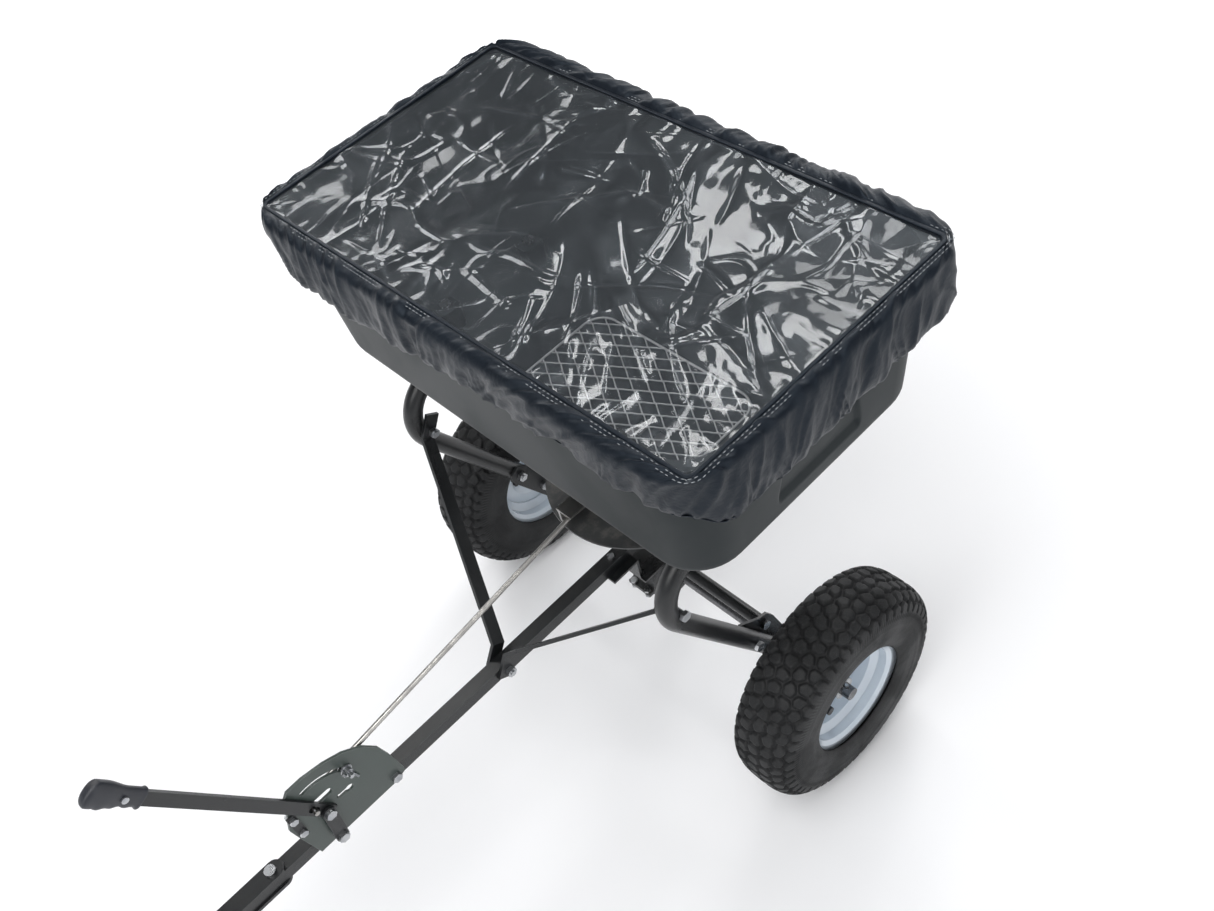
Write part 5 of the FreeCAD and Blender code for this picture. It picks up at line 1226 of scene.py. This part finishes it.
class SPREADER_OT_grip(bpy.types.Operator):
    """Moulded grip pushed over the lever's upper end"""

    bl_idname = "spreader.grip"
    bl_label = "Lever grip"

    def execute(self, context):
        low, high = (np.array(corner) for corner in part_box("lever_grip"))
        pivot = middle_of("pivot_bolt")
        along = np.array([np.cos(LEVER_LEAN), 0.0, np.sin(LEVER_LEAN)])
        across = np.array([-np.sin(LEVER_LEAN), 0.0, np.cos(LEVER_LEAN)])
        side = np.array([0.0, 1.0, 0.0])
        t = np.concatenate([[0.0, 0.0, 0.0015], np.linspace(0.004, 0.982, 44),
                            [0.992, 0.998, 1.0, 1.0]])
        start = GRIP_END - (high[2] - low[2]) / np.sin(LEVER_LEAN) * 0.93
        place = start + (GRIP_END - start) * t
        round_end = np.sqrt(np.clip(1 - (np.clip(t - 0.90, 0, 1) / 0.10) ** 2, 0, 1))
        collar = 1 + 0.10 * np.exp(-(((t - 0.02) / 0.025) ** 2))
        half_wide = (0.0120 + 0.0040 * ease((t - 0.25) / 0.5)) * collar * round_end
        half_thick = (0.0058 + 0.0022 * ease((t - 0.25) / 0.5)) * collar * round_end**0.6
        half_wide[0], half_thick[0] = 0.0, 0.0
        half_wide[-1], half_thick[-1] = 0.0, 0.0
        bumps = 0.0009 * np.cos((place - start) / 0.0165 * 2 * np.pi) * ease((0.85 - t) / 0.1)
        a = np.arange(28) * 2 * np.pi / 28
        wide = np.sign(np.cos(a)) * np.abs(np.cos(a)) ** 0.72
        thick = np.sign(np.sin(a)) * np.abs(np.sin(a)) ** 0.72
        middle_y = (low[1] + high[1]) / 2
        under = (wide < 0)[None, :] * bumps[:, None] * (half_wide > 0.001)[:, None]
        points = (np.array([pivot[0], middle_y, pivot[2]])
                  + place[:, None, None] * along
                  + (half_wide[:, None] * wide + under * wide)[..., None] * across
                  + (half_thick[:, None] * thick)[..., None] * side)
        shape = points.shape[:2]
        points = points.reshape(-1, 3)
        faces = outward(points, grid_faces(*shape, close_columns=True))
        grip = make_piece("lever_grip_moulding", points, faces, "lever_arm",
                          PAINTS["grip_rubber"], sharp=50)
        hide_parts("lever_grip")
        return {"FINISHED"}


# ---------------------------------------------------------------- stage


class SPREADER_OT_stage(bpy.types.Operator):
    """Pale floor, soft studio lights and the camera"""

    bl_idname = "spreader.stage"
    bl_label = "Stage"

    def execute(self, context):
        scene = context.scene
        shade = scene.spreader_colours
        sheet, shader = paint_sheet("studio_floor", Roughness=0.9, Specular_IOR_Level=0.1)
        tone = use(sheet, "cloud", Frequency=0.6)
        pale = tuple(shade.floor)
        sheet.join(sheet.blend(tone.outputs["Mask"], pale, tuple(c * 0.985 for c in pale)),
                   shader.inputs["Base Color"])
        place = sheet.add("ShaderNodeNewGeometry")
        far = sheet.add("ShaderNodeVectorMath", operation="LENGTH")
        sheet.join(place.outputs["Position"], far.inputs[0])
        sheet.join(sheet.span(far.outputs["Value"], 0.6, 4.0, 0.06, 0.9),
                   shader.inputs["Emission Strength"])
        shader.inputs["Emission Color"].default_value = (0.97, 0.98, 1.0, 1.0)
        line = np.linspace(-7, 7, 15)
        a, b = np.meshgrid(line, line)
        points = np.stack([a, b, np.full_like(a, -0.0005)], axis=-1).reshape(-1, 3)
        mesh = bpy.data.meshes.new("studio_floor")
        mesh.from_pydata(points.tolist(), [], grid_faces(15, 15).tolist())
        mesh.materials.append(PAINTS["studio_floor"])
        floor = bpy.data.objects.new("studio_floor", mesh)
        scene.collection.objects.link(floor)
        self.lights(scene)
        camera = bpy.data.cameras.new("studio_camera")
        camera.sensor_width, camera.lens = 36.0, 1232.0 / 1214.0 * 36.0
        camera.clip_start, camera.clip_end = 0.05, 50.0
        eye = bpy.data.objects.new("studio_camera", camera)
        right = (-0.69865172, 0.69025682, -0.18823204)
        up = (-0.6226352, -0.45698771, 0.63520677)
        back = (0.35243608, 0.56098819, 0.74905344)
        turn = Matrix((right, up, back)).transposed().to_4x4()
        eye.matrix_world = Matrix.Translation((0.270389, 0.899859, 1.665232)) @ turn
        scene.collection.objects.link(eye)
        scene.camera = eye
        return {"FINISHED"}

    def lights(self, scene):
        """Soft boxes: (name, place, aimed at, width, length, watts)."""
        boxes = [
            ("back_left_box", (-0.3, -2.1, 2.9), (-0.3, 0.0, 0.6), 1.1, 1.0, 20),
            ("back_low_box", (-1.3, -2.6, 1.5), (-0.3, 0.0, 0.7), 0.7, 1.4, 15),
            ("back_right_box", (-2.4, -0.9, 1.9), (-0.3, 0.0, 0.7), 0.9, 1.2, 17),
            ("back_top_box", (-1.7, -0.2, 3.0), (-0.3, 0.0, 0.7), 1.1, 1.0, 20),
            ("centre_strip", (-1.8, -1.4, 2.9), (-0.3, 0.0, 0.7), 0.22, 0.8, 5.5),
            ("front_box", (2.3, 0.5, 2.2), (0.0, 0.0, 0.3), 1.6, 1.2, 22),
            ("side_box", (0.0, 2.7, 1.6), (-0.2, 0.2, 0.3), 1.8, 1.0, 17),
            ("top_box", (1.1, 0.6, 3.4), (0.0, 0.0, 0.0), 2.2, 2.2, 66),
        ]
        for name, place, target, width, length, watts in boxes:
            light = bpy.data.lights.new(name, "AREA")
            light.shape, light.size, light.size_y = "RECTANGLE", width, length
            light.energy = watts
            lamp = bpy.data.objects.new(name, light)
            place, target = Matrix.Translation(place), Matrix.Translation(target)
            way = target.translation - place.translation
            lamp.matrix_world = place @ way.to_track_quat("-Z", "Y").to_matrix().to_4x4()
            scene.collection.objects.link(lamp)
        world = bpy.data.worlds.new("studio")
        world.use_nodes = True
        sky = Sheet(world.node_tree)
        ground = world.node_tree.nodes["Background"]
        place, parts = sky.add("ShaderNodeTexCoord"), sky.add("ShaderNodeSeparateXYZ")
        sky.join(place.outputs["Generated"], parts.inputs[0])
        height = sky.span(parts.outputs["Z"], 0.02, 0.55)
        sky.join(sky.blend(height, (0.90, 0.93, 0.97), (0.10, 0.105, 0.115)),
                 ground.inputs["Color"])
        ground.inputs["Strength"].default_value = 0.62
        scene.world = world
        scene.view_settings.view_transform = "Standard"


# ---------------------------------------------------------------- panel and running


class SPREADER_PT_panel(bpy.types.Panel):
    """Lists the spreader's pieces and their settings"""

    bl_label = "Garden Spreader"
    bl_idname = "SPREADER_PT_panel"
    bl_space_type = "VIEW_3D"
    bl_region_type = "UI"
    bl_category = "Spreader"

    def draw(self, context):
        layout = self.layout
        for title, settings, operators in LAYOUT:
            box = layout.box()
            box.label(text=title)
            group = getattr(context.scene, settings)
            for key in group.__annotations__:
                box.prop(group, key)
            for operator in operators:
                box.operator(operator)


LAYOUT = [
    ("Finishes", "spreader_colours", ["spreader.finishes", "spreader.grip", "spreader.stage"]),
    ("Tyres", "spreader_tyres", ["spreader.tyres"]),
    ("Hopper", "spreader_hopper", ["spreader.hopper"]),
    ("Screen", "spreader_mesh", ["spreader.screen"]),
    ("Rain cover", "spreader_cover",
     ["spreader.cover_border", "spreader.cover_window", "spreader.seams"]),
]
SETTINGS = {"spreader_tyres": SpreaderTyreSettings, "spreader_cover": SpreaderCoverSettings,
            "spreader_mesh": SpreaderMeshSettings, "spreader_hopper": SpreaderHopperSettings,
            "spreader_colours": SpreaderColourSettings}
OPERATORS = [SPREADER_OT_finishes, SPREADER_OT_grip, SPREADER_OT_tyres, SPREADER_OT_hopper,
             SPREADER_OT_screen, SPREADER_OT_cover_border,
             SPREADER_OT_cover_window, SPREADER_OT_seams, SPREADER_OT_stage]


def register():
    """Registers the settings, operators and panel."""
    for group in SETTINGS.values():
        bpy.utils.register_class(group)
    for name, group in SETTINGS.items():
        setattr(bpy.types.Scene, name, PointerProperty(type=group))
    for operator in OPERATORS:
        bpy.utils.register_class(operator)
    bpy.utils.register_class(SPREADER_PT_panel)


def unregister():
    """Takes them off again."""
    bpy.utils.unregister_class(SPREADER_PT_panel)
    for operator in reversed(OPERATORS):
        bpy.utils.unregister_class(operator)
    for name in SETTINGS:
        delattr(bpy.types.Scene, name)
    for group in reversed(SETTINGS.values()):
        bpy.utils.unregister_class(group)


def main():
    register()
    bpy.ops.spreader.finishes()
    bpy.ops.spreader.tyres()
    bpy.ops.spreader.hopper()
    bpy.ops.spreader.screen()
    bpy.ops.spreader.grip()
    bpy.ops.spreader.cover_border()
    bpy.ops.spreader.cover_window()
    bpy.ops.spreader.seams()
    bpy.ops.spreader.stage()
    bpy.context.view_layer.update()


if __name__ == "__main__":
    main()
